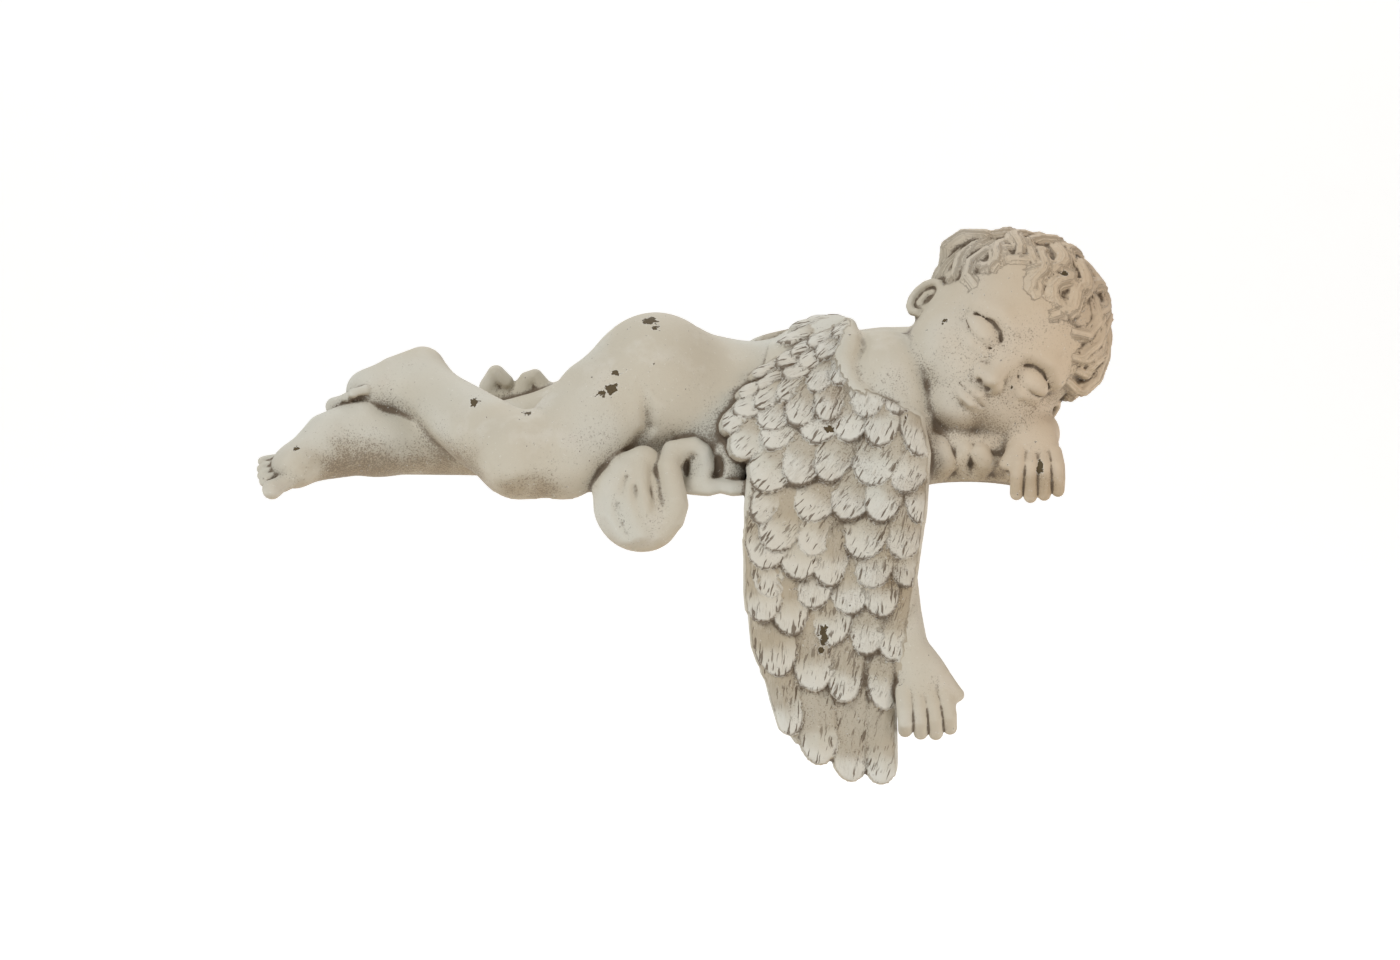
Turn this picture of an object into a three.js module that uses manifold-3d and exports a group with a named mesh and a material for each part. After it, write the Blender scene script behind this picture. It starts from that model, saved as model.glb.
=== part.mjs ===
// Sleeping winged child for the edge of a shelf, cast in one piece of stone resin.
// The child lies on its belly with its head on one hand. Its near wing, its near arm and
// a fold of cloth hang down in front of the shelf, and the underside is flat.
// +X runs from the feet to the head, +Y from the front edge into the shelf, +Z up.
// The origin is on the flat underside, below the waist.
import * as THREE from 'three';
import { mergeVertices } from 'three/addons/utils/BufferGeometryUtils.js';
import Module from 'manifold-3d';

// Driving dimensions, in millimetres
const figureLength = 428; // from the toes to the back of the head
const overhang = 45; // from the origin forward to the shelf's front face
const shelfGap = 1; // between that face and what hangs before it
const wingDrop = 146; // how far the wing hangs below the shelf
const wingThickness = 12; // below its feathers, where it hangs
const featherRelief = 3.2; // how far a feather's tip stands over the next row
const clothThickness = 5; // half the width of a ruffle

// How finely the surface is sampled, and how many triangles are kept of it
const sampleStep = 2.5;
const keptTriangles = 9200;

// Pose and proportions are shares of the figure: one unit is 1 mm on a figure 428 long
const unit = figureLength / 428;
const frontPlane = -overhang - shelfGap;
const wingBack = wingThickness + 3; // the sheet reaches past the front plane, and is cut flat there

// Solid shapes as signed distances, negative inside. Each has a box that holds it.

function boxAround(points) {
  const low = [Infinity, Infinity, Infinity];
  const high = [-Infinity, -Infinity, -Infinity];
  for (const [x, y, z, r] of points) {
    [x, y, z].forEach((value, axis) => {
      low[axis] = Math.min(low[axis], value - r);
      high[axis] = Math.max(high[axis], value + r);
    });
  }
  return { low, high };
}

// A rounded limb through points [x, y, z, radius], in units
function limb(unitPoints) {
  const points = unitPoints.map((point) => point.map((value) => value * unit));
  const distance = (x, y, z) => {
    let nearest = Infinity;
    for (let i = 1; i < points.length; i++) {
      const [ax, ay, az, ar] = points[i - 1];
      const [bx, by, bz, br] = points[i];
      const dx = bx - ax;
      const dy = by - ay;
      const dz = bz - az;
      const along = ((x - ax) * dx + (y - ay) * dy + (z - az) * dz) / (dx * dx + dy * dy + dz * dz);
      const t = Math.min(1, Math.max(0, along));
      const gap = Math.hypot(x - ax - t * dx, y - ay - t * dy, z - az - t * dz) - ar - t * (br - ar);
      nearest = Math.min(nearest, gap);
    }
    return nearest;
  };
  return { ...boxAround(points), distance };
}

// An ellipsoid at a centre, with radii along the axes of a place (the world's if none is given)
function egg(centre, radii, place = world) {
  const [cx, cy, cz] = place.point(centre).map((value) => value * unit);
  const [rx, ry, rz] = radii.map((value) => value * unit);
  const [ex, ey, ez] = place.axes;
  const distance = (x, y, z) => {
    const px = x - cx;
    const py = y - cy;
    const pz = z - cz;
    const a = px * ex.x + py * ex.y + pz * ex.z;
    const b = px * ey.x + py * ey.y + pz * ey.z;
    const c = px * ez.x + py * ez.y + pz * ez.z;
    const size = Math.hypot(a / rx, b / ry, c / rz);
    const slope = Math.hypot(a / (rx * rx), b / (ry * ry), c / (rz * rz));
    return slope > 1e-9 ? (size * (size - 1)) / slope : -Math.min(rx, ry, rz);
  };
  return { ...boxAround([[cx, cy, cz, Math.max(rx, ry, rz)]]), distance };
}

// A place on the figure with axes of its own: across, up and forward
function makePlace(origin, upward, forward) {
  const up = new THREE.Vector3(...upward).normalize();
  const across = new THREE.Vector3().crossVectors(up, new THREE.Vector3(...forward)).normalize();
  const ahead = new THREE.Vector3().crossVectors(across, up);
  const point = ([a, b, c]) => [
    origin[0] + a * across.x + b * up.x + c * ahead.x,
    origin[1] + a * across.y + b * up.y + c * ahead.y,
    origin[2] + a * across.z + b * up.z + c * ahead.z,
  ];
  return { point, axes: [across, up, ahead] };
}

const world = {
  point: (p) => p,
  axes: [new THREE.Vector3(1, 0, 0), new THREE.Vector3(0, 1, 0), new THREE.Vector3(0, 0, 1)],
};

// A limb whose points are given in a place's own axes
const limbIn = (place, points) => limb(points.map(([a, b, c, r]) => [...place.point([a, b, c]), r]));

function smoothMin(a, b, blend) {
  const share = Math.max(blend - Math.abs(a - b), 0) / blend;
  return Math.min(a, b) - (share * share * blend) / 4;
}

// A block of clay: signed distances on a grid, to which shapes are added and from which they are carved
class Clay {
  constructor(low, high, step) {
    this.low = low;
    this.step = step;
    this.count = low.map((value, axis) => Math.ceil((high[axis] - value) / step) + 1);
    this.field = new Float32Array(this.count[0] * this.count[1] * this.count[2]).fill(20 * step);
  }

  visit(shape, reach, change) {
    const { low, step, count, field } = this;
    const from = shape.low.map((v, axis) => Math.max(0, Math.floor((v - reach - low[axis]) / step)));
    const to = shape.high.map((v, axis) => Math.min(count[axis] - 1, Math.ceil((v + reach - low[axis]) / step)));
    for (let k = from[2]; k <= to[2]; k++) {
      for (let j = from[1]; j <= to[1]; j++) {
        const row = count[0] * (j + count[1] * k);
        const y = low[1] + j * step;
        const z = low[2] + k * step;
        for (let i = from[0]; i <= to[0]; i++) {
          field[row + i] = change(field[row + i], shape.distance(low[0] + i * step, y, z));
        }
      }
    }
  }

  add(shape, blend) {
    const soft = blend * unit;
    this.visit(shape, soft + 2 * this.step, (old, gap) => smoothMin(old, gap, soft));
  }

  carve(shape, blend) {
    const soft = blend * unit;
    this.visit(shape, soft + 2 * this.step, (old, gap) => -smoothMin(-old, gap, soft));
  }
}

// Torso: belly on the shelf, hips and back raised
function makeTorso(clay) {
  clay.add(egg([18, 0, 33], [42, 40, 36.5]), 1); // waist and belly
  clay.add(egg([64, 2, 38], [44, 43, 39.5]), 18); // chest
  clay.add(egg([94, 4, 44], [25, 44, 30]), 16); // shoulders
  clay.add(egg([-13, 3, 38], [40, 42, 39]), 16); // hips
  clay.add(egg([-22, -15, 51], [33, 32, 35]), 10); // near buttock
  clay.add(egg([-25, 24, 48], [33, 31, 34]), 9); // far buttock
  clay.add(limb([[100, 4, 52, 22], [132, -2, 62, 22]]), 12); // neck
}

// The near leg crosses over the far one at the ankle
function makeLegs(clay) {
  clay.add(limb([[-28, 22, 44, 30], [-62, 24, 27, 25], [-92, 20, 20, 20]]), 10); // far thigh
  clay.add(limb([[-92, 20, 20, 19], [-122, 8, 20, 17], [-162, -8, 20, 15]]), 8); // far shin
  makeFoot(clay, {
    heel: [-172, -11, 31],
    ankle: [-162, -8, 20],
    ball: [-202, -31, 14],
    toes: [-214, -40, 7],
    sole: [-0.1, -0.6, 0.7],
    width: 9.8,
    bigToe: 1,
  });
  clay.add(limb([[-25, -14, 50, 32], [-46, -21, 38, 29], [-68, -35, 19, 25.5], [-89, -41, 18, 20.5]]), 6); // near thigh
  clay.add(limb([[-89, -41, 18, 19.5], [-109, -24, 27, 18], [-136, -1, 44, 14]]), 5); // near shin
  makeFoot(clay, {
    heel: [-141, 8, 57],
    ankle: [-138, 2, 46],
    ball: [-168, -1, 47],
    toes: [-181, -5, 43],
    sole: [-0.5, 0.1, 0.86],
    width: 9.5,
    bigToe: -1,
  });
  // The crease between the near thigh and the belly
  clay.carve(limb([[-31, -50, 58, 0.5], [-27, -48, 46, 1.8], [-25, -43.5, 32, 2.6], [-31, -44, 23, 2.8],
    [-41, -48, 12, 2.5], [-50, -52, 3, 2]]), 4);
}

// A foot with its sole up; bigToe tells on which side of the sole the big toe is
function makeFoot(clay, { heel, ankle, ball, toes, sole, width, bigToe }) {
  const along = toes.map((value, axis) => value - ball[axis]);
  const length = Math.hypot(...along);
  const front = makePlace(ball, sole, along);
  clay.add(limb([[...heel, 1.2 * width], [...ball, 0.9 * width]]), 6);
  clay.add(limb([[...ankle, 1.4 * width], [...ball, 0.85 * width]]), 7);
  clay.add(egg([0, 0, -2], [width * 1.15, width * 0.72, width], front), 5);
  for (let toe = 0; toe < 5; toe++) {
    const radius = toe === 0 ? 5 : 3.3 - 0.15 * toe;
    const side = bigToe * (width * 0.62 - (toe === 0 ? 0 : 3.2 + 4.6 * toe));
    const reach = length + 1.5 - 0.45 * toe * toe;
    clay.add(limbIn(front, [
      [side * 0.85, -0.5, length * 0.2, radius],
      [side, 0.6, reach * 0.75, radius * 0.9],
      [side, 0.9, reach, radius],
    ]), 1);
  }
}

// The near arm hangs before the shelf; the far one lies below the head
function makeArms(clay) {
  clay.add(limb([[91, -25, 55, 24], [96, -33, 34, 20], [96, -46, 4, 16]]), 8);
  clay.add(limb([[96, -46, 4, 16], [94, -50, -30, 13.5], [98, -53, -58, 12.5], [103.5, -55.5, -78, 10.8]]), 6);
  makeHand(clay, makePlace([109, -57, -91], [-0.16, 0.05, 1], [0.1, -1, -0.05]), 1, 1);
  clay.add(limb([[96, 34, 46, 21], [128, 42, 26, 16], [160, 36, 20, 15]]), 8);
  clay.add(limb([[160, 36, 20, 15], [168, 10, 24, 15], [168.5, -24, 27, 13.5]]), 6);
  makeHand(clay, makePlace([168, -40, 21.5], [0.02, 0.5, 0.75], [0, -0.85, 0.5]), -1, 0.92);
}

// A hand with its fingers down; thumbSide is +1 where the thumb is on the right of its back
function makeHand(clay, hand, thumbSide, size) {
  const sized = (points) => points.map((point) => point.map((value) => value * size));
  clay.add(egg([0, size, 0], [12.5 * size, 15 * size, 8.5 * size], hand), 6);
  for (let finger = 0; finger < 4; finger++) {
    const side = thumbSide * (10.8 - 7.4 * finger);
    const reach = -27 + (finger === 3 ? 2.5 : 0) - (finger === 1 ? 1.5 : 0);
    clay.add(limbIn(hand, sized([
      [side * 0.8, -4, 2, 4.8],
      [side * 0.94, -13, 4.6, 4.2],
      [side, -20, 3.2, 3.7],
      [side, reach, -2, 3.6],
    ])), 1);
  }
  clay.add(limbIn(hand, sized([
    [thumbSide * 8, 9, 0, 6.5],
    [thumbSide * 14, 0, 1, 4.8],
    [thumbSide * 16.5, -11, 2, 3.4],
  ])), 4);
}

// The head lies on its cheek: up points to the crown, forward out of the face
const headPlace = makePlace([155, -11, 76.5], [0.7, 0.05, 0.71], [0.09, -1, -0.08]);
const hairCap = { centre: [0, 5, -7], radii: [45.5, 46, 46] };

function makeHead(clay) {
  const here = headPlace;
  clay.add(egg([0, 4, -6], [42, 42, 43], here), 8);
  clay.add(egg([0, -14, 2], [41, 40, 37], here), 6);
  clay.add(egg([0, 6, 8], [36, 30, 32], here), 8); // forehead
  clay.add(egg([0, -34, 21], [19, 16, 16.5], here), 8); // around the mouth
  for (const side of [-1, 1]) {
    clay.add(egg([side * 20, -27.5, 16], [18.5, 17, 17.5], here), 8); // cheek
    clay.carve(egg([side * 16.5, -8, 46], [12, 8.5, 9], here), 5); // eye socket
    clay.add(egg([side * 17, -11, 30.5], [11, 7.5, 8.5], here), 2); // closed lid
    clay.carve(limbIn(here, [
      [side * 8, -13.5, 37.5, 0.8],
      [side * 17, -16.6, 38.2, 1.2],
      [side * 27, -12.5, 32.5, 0.8],
    ]), 1.5); // lashes
    clay.add(limbIn(here, [[side * 6, -1.5, 36, 2.6], [side * 17, 2, 35.5, 3.2], [side * 28, -2, 29.5, 2.5]]), 6); // brow
    makeEar(clay, side);
  }
  clay.add(egg([0, -47, 22], [12, 9, 12], here), 7); // chin
  clay.add(limbIn(here, [[0, -4, 34.5, 3.6], [0, -16, 38.5, 3.8], [0, -24, 42, 4.6]]), 6); // nose
  for (const side of [-1, 1]) clay.add(egg([side * 5.2, -25.8, 38], [3.3, 3.4, 4.4], here), 2);
  clay.add(limbIn(here, [[-8.6, -37, 34.6, 1.5], [-2, -34.8, 38.8, 2.4], [2, -34.8, 38.8, 2.4],
    [8.6, -37, 34.6, 1.5]]), 2); // upper lip
  clay.add(limbIn(here, [[-6.5, -39.4, 35, 1.6], [0, -40.6, 38, 2.8], [6.5, -39.4, 35, 1.6]]), 2); // lower lip
  clay.carve(limbIn(here, [[-9, -37.2, 36.4, 0.6], [0, -37.8, 41, 1], [9, -37.2, 36.4, 0.6]]), 1.5);
}

// An ear's rim runs round a dish and stays open towards the face
function makeEar(clay, side) {
  const [across, up, ahead] = headPlace.axes;
  const outward = across.clone().multiplyScalar(0.8 * side).addScaledVector(ahead, 0.6);
  const ear = makePlace(headPlace.point([side * 40.5, -17, -2]), up.toArray(), outward.toArray());
  const rim = [];
  for (let turn = -120; turn <= 180; turn += 30) {
    const angle = THREE.MathUtils.degToRad(turn);
    rim.push([side * 6.8 * Math.cos(angle), 9.6 * Math.sin(angle), 2, 2.2]);
  }
  clay.add(egg([0, 0, -4], [7, 10, 6.5], ear), 3);
  clay.add(limbIn(ear, rim), 1.2);
  clay.carve(egg([0, 0.5, 4], [4.4, 6.8, 4], ear), 1.5);
}

// Wavy locks that run from the crown, in rings that overlap. Angles are in degrees.
const lockRings = [
  { start: 3, sweep: 40, count: 9, radius: 5.6, hook: 30 },
  { start: 28, sweep: 38, count: 14, radius: 5.8, hook: 50 },
  { start: 52, sweep: 36, count: 17, radius: 5.6, hook: 90 },
  { start: 72, sweep: 34, count: 19, radius: 5.2, hook: 130 },
];
const lockWave = 52; // how far a lock swings to each side of its way down
const lockSunk = 2; // how deep a lock's middle line lies in the cap

function makeHair(clay) {
  clay.add(cappedAtHairline(), 3);
  lockRings.forEach((ring, row) => {
    for (let i = 0; i < ring.count; i++) {
      const turn = ((i + 0.5 * (row % 2)) / ring.count) * 2 * Math.PI;
      clay.add(makeLock(ring, turn, i + 3 * row), 1.6);
    }
  });
}

// The cap of hair ends on a slanted plane, which is the hairline
function cappedAtHairline() {
  const whole = egg(hairCap.centre, hairCap.radii, headPlace);
  const [, up, ahead] = headPlace.axes;
  const [ox, oy, oz] = headPlace.point([0, 0, 0]).map((value) => value * unit);
  const rise = up.clone().multiplyScalar(0.748).addScaledVector(ahead, -0.665);
  const distance = (x, y, z) => {
    const above = (x - ox) * rise.x + (y - oy) * rise.y + (z - oz) * rise.z;
    return -smoothMin(-whole.distance(x, y, z), above + 2 * unit, 4 * unit);
  };
  return { ...whole, distance };
}

// One lock: it walks over the cap away from the crown, swings from side to side and hooks at its end
function makeLock({ start, sweep, radius, hook }, turn, seed) {
  const steps = 8;
  const crown = new THREE.Vector3(0, 0.8, -0.6);
  const toFace = new THREE.Vector3(0, 0.6, 0.8);
  const toSide = new THREE.Vector3(1, 0, 0);
  const fall = THREE.MathUtils.degToRad(start);
  const stride = (THREE.MathUtils.degToRad(sweep) / steps) * 1.2;
  const way = crown.clone().multiplyScalar(Math.cos(fall))
    .addScaledVector(toFace, Math.sin(fall) * Math.cos(turn))
    .addScaledVector(toSide, Math.sin(fall) * Math.sin(turn));
  const points = [];
  for (let step = 0; step <= steps; step++) {
    const t = step / steps;
    const thick = radius * (0.75 + 0.25 * Math.sin(Math.PI * t) - 0.45 * t ** 3);
    const lift = 1 + (1.5 * Math.sin(Math.PI * t) - (lockSunk * thick) / radius) / 44;
    const place = ['x', 'y', 'z'].map((axis, i) => hairCap.centre[i] + hairCap.radii[i] * way[axis] * lift);
    points.push([...place, thick]);
    const down = way.clone().multiplyScalar(crown.dot(way)).sub(crown).normalize();
    const sideways = new THREE.Vector3().crossVectors(way, down);
    const bend = THREE.MathUtils.degToRad(
      lockWave * Math.cos(2.4 * Math.PI * t + 1.7 * seed) + hook * t ** 3 * (Math.sin(1.3 * seed) > 0 ? 1 : -1),
    );
    way.addScaledVector(down, stride * Math.cos(bend)).addScaledVector(sideways, stride * Math.sin(bend)).normalize();
  }
  return limbIn(headPlace, points);
}

// A map of values over a flat area, read between its grid points. Each value is a list of numbers.
function makeMap(low, high, step, valuesAt) {
  const columns = Math.ceil((high[0] - low[0]) / step) + 2;
  const rows = Math.ceil((high[1] - low[1]) / step) + 2;
  const layers = [];
  for (let row = 0; row < rows; row++) {
    for (let column = 0; column < columns; column++) {
      valuesAt(low[0] + column * step, low[1] + row * step).forEach((value, i) => {
        layers[i] ??= new Float32Array(columns * rows);
        layers[i][row * columns + column] = value;
      });
    }
  }
  return (a, b) => {
    const ca = Math.min(columns - 1.001, Math.max(0, (a - low[0]) / step));
    const cb = Math.min(rows - 1.001, Math.max(0, (b - low[1]) / step));
    const spot = Math.floor(cb) * columns + Math.floor(ca);
    const ta = ca % 1;
    const tb = cb % 1;
    return layers.map((layer) =>
      (layer[spot] * (1 - ta) + layer[spot + 1] * ta) * (1 - tb) +
      (layer[spot + columns] * (1 - ta) + layer[spot + columns + 1] * ta) * tb);
  };
}

// A wing is a thick sheet that follows a profile from the spine outward and down, as [y, z] points in units.
// Feathers are laid on it in rows; along is measured down the profile from its first point.
function makeProfile(unitPoints) {
  const points = unitPoints.map((p) => p.map((value) => value * unit));
  const curve = new THREE.CatmullRomCurve3(points.map(([y, z]) => new THREE.Vector3(0, y, z)));
  const parts = 90;
  const samples = curve.getSpacedPoints(parts).map((p) => [p.y, p.z]);
  const pitch = curve.getLength() / parts;
  // Along, distance out from the sheet and distance past its ends
  const nearest = (y, z) => {
    let least = Infinity;
    let found = null;
    for (let i = 1; i <= parts; i++) {
      const [ay, az] = samples[i - 1];
      const dy = samples[i][0] - ay;
      const dz = samples[i][1] - az;
      const free = ((y - ay) * dy + (z - az) * dz) / (dy * dy + dz * dz);
      const t = Math.min(1, Math.max(0, free));
      const gap = Math.hypot(y - ay - t * dy, z - az - t * dz);
      if (gap >= least) continue;
      least = gap;
      const atEnd = (i === 1 && free < 0) || (i === parts && free > 1);
      const out = (dz * (y - ay) - dy * (z - az)) / Math.hypot(dy, dz);
      found = [(i - 1 + t) * pitch, out, atEnd ? Math.abs(free - t) * pitch : -pitch];
    }
    return found;
  };
  const margin = 35 * unit;
  const low = [0, 1].map((axis) => Math.min(...samples.map((p) => p[axis])) - margin);
  const high = [0, 1].map((axis) => Math.max(...samples.map((p) => p[axis])) + margin);
  const alongAt = (z) => {
    const i = samples.findIndex((p) => p[1] < z);
    return (i < 0 ? parts : i) * pitch;
  };
  return { place: makeMap(low, high, 1.2 * unit, nearest), low, high, alongAt, length: curve.getLength() };
}

// Spreads a row of feathers between its two end tips, [x, along], leaning from the first angle to the last
function layRow(row, index) {
  const feathers = [];
  for (let i = 0; i < row.count; i++) {
    const t = row.count > 1 ? i / (row.count - 1) : 0.5;
    const wobble = Math.sin(12.9 * i + 7.3 * index);
    const sway = Math.cos(8.3 * i + 4.1 * index);
    const lean = THREE.MathUtils.degToRad(row.lean[0] + (row.lean[1] - row.lean[0]) * t + 6 * wobble);
    const sag = row.sag * Math.sin(Math.PI * t) + 2 * wobble * unit;
    feathers.push({
      x: row.from[0] + (row.to[0] - row.from[0]) * t + 1.2 * sway * unit,
      along: row.from[1] + (row.to[1] - row.from[1]) * t + sag,
      way: [-Math.sin(lean), Math.cos(lean)],
      width: row.width * (1 + 0.08 * sway),
      length: row.length,
      height: featherRelief * (row.width / (22 * unit)) * (1 + 0.2 * Math.cos(5.1 * i + 2.3 * index)),
    });
  }
  return feathers;
}

// The feathers over x and along: height over the sheet, and distance past the outermost feather
function mapFeathers(feathers) {
  const reach = Math.max(...feathers.map((f) => Math.hypot(f.length, f.width)));
  const xs = feathers.map((f) => f.x);
  const alongs = feathers.map((f) => f.along);
  const low = [Math.min(...xs) - reach, Math.min(...alongs) - reach];
  const high = [Math.max(...xs) + reach, Math.max(...alongs) + reach];
  return makeMap(low, high, 0.8 * unit, (x, along) => {
    let height = 0;
    let past = reach;
    for (const feather of feathers) {
      const dx = x - feather.x;
      const dv = along - feather.along;
      const back = dx * feather.way[0] + dv * feather.way[1]; // 0 at the tip, negative towards the root
      const side = dx * feather.way[1] - dv * feather.way[0];
      if (back < -feather.length || Math.abs(side) > reach / 2) continue;
      const half = feather.width / 2;
      const nose = Math.min(feather.length * 0.6, half * 1.25);
      const towardsRoot = Math.max(0, -(back + nose) / feather.length);
      const spread = half * (1 - 0.25 * towardsRoot - 0.4 * towardsRoot ** 2);
      const edge = (Math.hypot(side / spread, Math.max(0, back + nose) / nose) - 1) * Math.min(spread, nose);
      past = Math.min(past, edge);
      if (edge > 0) continue;
      const ramp = 0.05 + 0.95 * (1 + back / feather.length);
      const camber = 1 - 0.45 * (side / half) ** 2;
      const lip = Math.sqrt(Math.min(1, -edge / (2 * unit)));
      height = Math.max(height, feather.height * ramp * camber * lip);
    }
    return [height, past];
  });
}

function wingShape({ profile, feathers, swell, sink, edge, outward, fill }) {
  const cover = mapFeathers(feathers);
  const distance = (x, y, worldZ) => {
    const z = worldZ + sink(x, worldZ);
    const [along, side, pastEnd] = profile.place(y, z);
    const out = side * outward;
    const [height, past] = cover(x, along);
    const beyond = -smoothMin(-fill(x, z, past), -edge(x, z), 2 * unit);
    const front = out - height - swell(x, z);
    const rounded = -smoothMin(-front, -beyond, 7 * unit);
    return Math.max(rounded, -out - wingBack, pastEnd);
  };
  const xs = feathers.flatMap((f) => [f.x - f.width - f.length, f.x + f.width + f.length]);
  const margin = 15 * unit;
  return {
    low: [Math.min(...xs), profile.low[0], profile.low[1] - margin],
    high: [Math.max(...xs), profile.high[0], profile.high[1] + margin],
    distance,
  };
}

// The wings meet on the spine. Their front edge hooks round the bare shoulder, as [x, z] points, and their
// top sinks towards the waist
const shoulderEdge = [[74, 96], [77, 80], [78, 72], [74, 63], [78, 53], [94, 47], [110, 38], [114, 20], [113, -8]];

function edgeAlong(points) {
  return (x, z) => {
    const height = Math.max(points[points.length - 1][1], z / unit);
    const i = Math.max(1, points.findIndex((p) => p[1] <= height));
    const [[ax, az], [bx, bz]] = [points[i - 1], points[i]];
    return x - (ax + ((bx - ax) * (height - az)) / (bz - az)) * unit;
  };
}

function sinkToWaist(x, z) {
  const towardsWaist = 1 - THREE.MathUtils.smoothstep(x / unit, 8, 72);
  return 14 * unit * towardsWaist * THREE.MathUtils.smoothstep(z / unit, 10, 70);
}

function sizedRows(rows, profile) {
  return rows.flatMap((row, index) => layRow({
    ...row,
    from: [row.from[0] * unit, profile.alongAt(row.from[1] * unit)],
    to: [row.to[0] * unit, profile.alongAt(row.to[1] * unit)],
    sag: row.sag * unit,
    width: row.width * unit,
    length: row.length * unit,
  }, index));
}

// The near wing falls from the spine over the side and down before the shelf
function makeNearWing(clay) {
  const down = -wingDrop / unit; // in units
  const hang = (frontPlane - wingThickness) / unit;
  const profile = makeProfile([
    [22, 79], [2, 81], [-16, 78], [-34, 68], [-47, 50], [-54, 28], [hang + 1, 4],
    [hang, down * 0.25], [hang, down * 0.6], [hang + 2, down + 1],
  ]);
  // Rows of feathers: the end tips as [x, z], from the feet side to the head side
  const rows = [
    { from: [36, 79], to: [62, 84], sag: 0, count: 4, width: 13, length: 20, lean: [66, 45] },
    { from: [25, 70], to: [64, 77], sag: 0, count: 5, width: 13, length: 20, lean: [64, 38] },
    { from: [18, 58], to: [70, 66], sag: 0, count: 6, width: 14, length: 22, lean: [60, 30] },
    { from: [14, 45], to: [80, 52], sag: 1, count: 6, width: 16, length: 24, lean: [56, 18] },
    { from: [13, 31], to: [96, 38], sag: 2, count: 6, width: 20, length: 28, lean: [50, 6] },
    { from: [17, 16], to: [106, 20], sag: -7, count: 6, width: 22, length: 30, lean: [44, 0] },
    { from: [27, 5], to: [98, 6], sag: -5, count: 5, width: 24, length: 32, lean: [34, 0] },
    { from: [33, -9], to: [107, -10], sag: -3, count: 5, width: 24, length: 34, lean: [26, 0] },
    { from: [42, -22], to: [98, -28], sag: 2, count: 4, width: 25, length: 36, lean: [14, 0] },
    { from: [33, down * 0.22], to: [102, down * 0.315], sag: 5, count: 5, width: 24, length: 38, lean: [9, 2] },
    { from: [42, down * 0.34], to: [92, down * 0.425], sag: 3, count: 4, width: 24, length: 40, lean: [5, 3] },
    { from: [32, down * 0.45], to: [97, down * 0.56], sag: 3, count: 5, width: 23, length: 42, lean: [0, 3] },
    { from: [39, down * 0.63], to: [90, down * 0.71], sag: 2, count: 4, width: 22, length: 46, lean: [-6, 2] },
    { from: [49, down * 0.835], to: [90, down * 0.986], sag: 4, count: 4, width: 20.5, length: 60, lean: [-10, 0] },
  ];
  const armEdge = [[109, down * 0.27], [103, down * 0.5], [98, down * 0.68], [99, down * 1.1]];
  // The edge on the feet side: above the seat the feathers reach past it over the back
  const footEdge = edgeAlong([
    [70, 90], [34, 78], [30, 66], [26, 52], [23, 40], [24, 30], [25, 14], [23, 6], [22, down * 0.23],
    [20.5, down * 0.34], [24, down * 0.53], [31, down * 0.64], [42, down * 0.79], [49, down * 0.86],
    [60, down * 0.94], [60, down * 1.1],
  ]);
  // The feathers leave no gaps, but for those between the lowest tips
  const fill = (x, z, past) => {
    const outside = -footEdge(x, z);
    const filled = Math.min(past, Math.max(outside + 0.6 * unit, down * 0.86 * unit - z));
    return z < 10 * unit ? Math.max(filled, outside - 0.6 * unit) : filled;
  };
  // It swells where it lies over the arm
  const swell = (x, z) => {
    const across = (x / unit - 97) / 18;
    const fade = THREE.MathUtils.smoothstep(z / unit, -100, -45) * (1 - THREE.MathUtils.smoothstep(z / unit, 25, 55));
    return 9 * unit * fade * Math.exp(-across * across);
  };
  clay.add(wingShape({
    profile,
    feathers: sizedRows(rows, profile),
    swell,
    sink: sinkToWaist,
    edge: edgeAlong([...shoulderEdge, ...armEdge]),
    outward: 1,
    fill,
  }), 1);
  // A rounded rim where the wing hooks round the shoulder
  clay.add(limb([[76, -10, 78.5, 2.4], [77.5, -27, 72, 3], [74.5, -37, 64, 3], [76, -43, 56, 3], [84, -47.5, 50, 3],
    [95, -51.5, 45.5, 2.8], [105, -54, 40, 2.2]]), 3);
}

// The far wing lies down the far side of the back, with its tip on the shelf
function makeFarWing(clay) {
  const profile = makeProfile([
    [-4, 80], [14, 79], [32, 73], [48, 57], [58, 34], [68, 17], [90, 9], [112, 8],
  ]);
  const rowCount = 7;
  const feathers = [];
  for (let index = 0; index < rowCount; index++) {
    const t = index / (rowCount - 1);
    feathers.push(...layRow({
      from: [(22 - 14 * t) * unit, profile.length * (0.24 + 0.62 * t)],
      to: [(74 + 20 * t * (1.4 - t)) * unit, profile.length * (0.24 + 0.74 * t)],
      sag: 4 * unit,
      count: 5,
      width: (18 + 4 * t) * unit,
      length: (28 + 22 * t) * unit,
      lean: [45 - 20 * t, 10],
    }, index));
  }
  clay.add(wingShape({
    profile,
    feathers,
    swell: () => 0,
    sink: sinkToWaist,
    edge: edgeAlong([...shoulderEdge.slice(0, 7), [110, 0]]),
    outward: -1,
    fill: (x, z, past) => past,
  }), 1);
}

// Ruffles below the chin, each with its foot swung to one side and its middle to the other: [x, top]
const ruffles = [[119.5, 30], [130, 26.5], [140, 25.5], [149.5, 21]];

function makeRuffles(clay) {
  const width = clothThickness / unit;
  clay.add(limb([[112, -32, 19, 10], [126, -32, 23, 9.5], [150, -30, 20, 9.5]]), 4); // the bank behind them
  for (const [x, top] of ruffles) {
    clay.add(limb([
      [x - 1.4, -36, 9, width * 1.04],
      [x + 1.6, -40, 14, width * 1.04],
      [x - 0.6, -40, top - width, width * 0.96],
      [x + 1, -30, top - width + 2, width * 0.9],
    ]), 1.2);
  }
}

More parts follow.
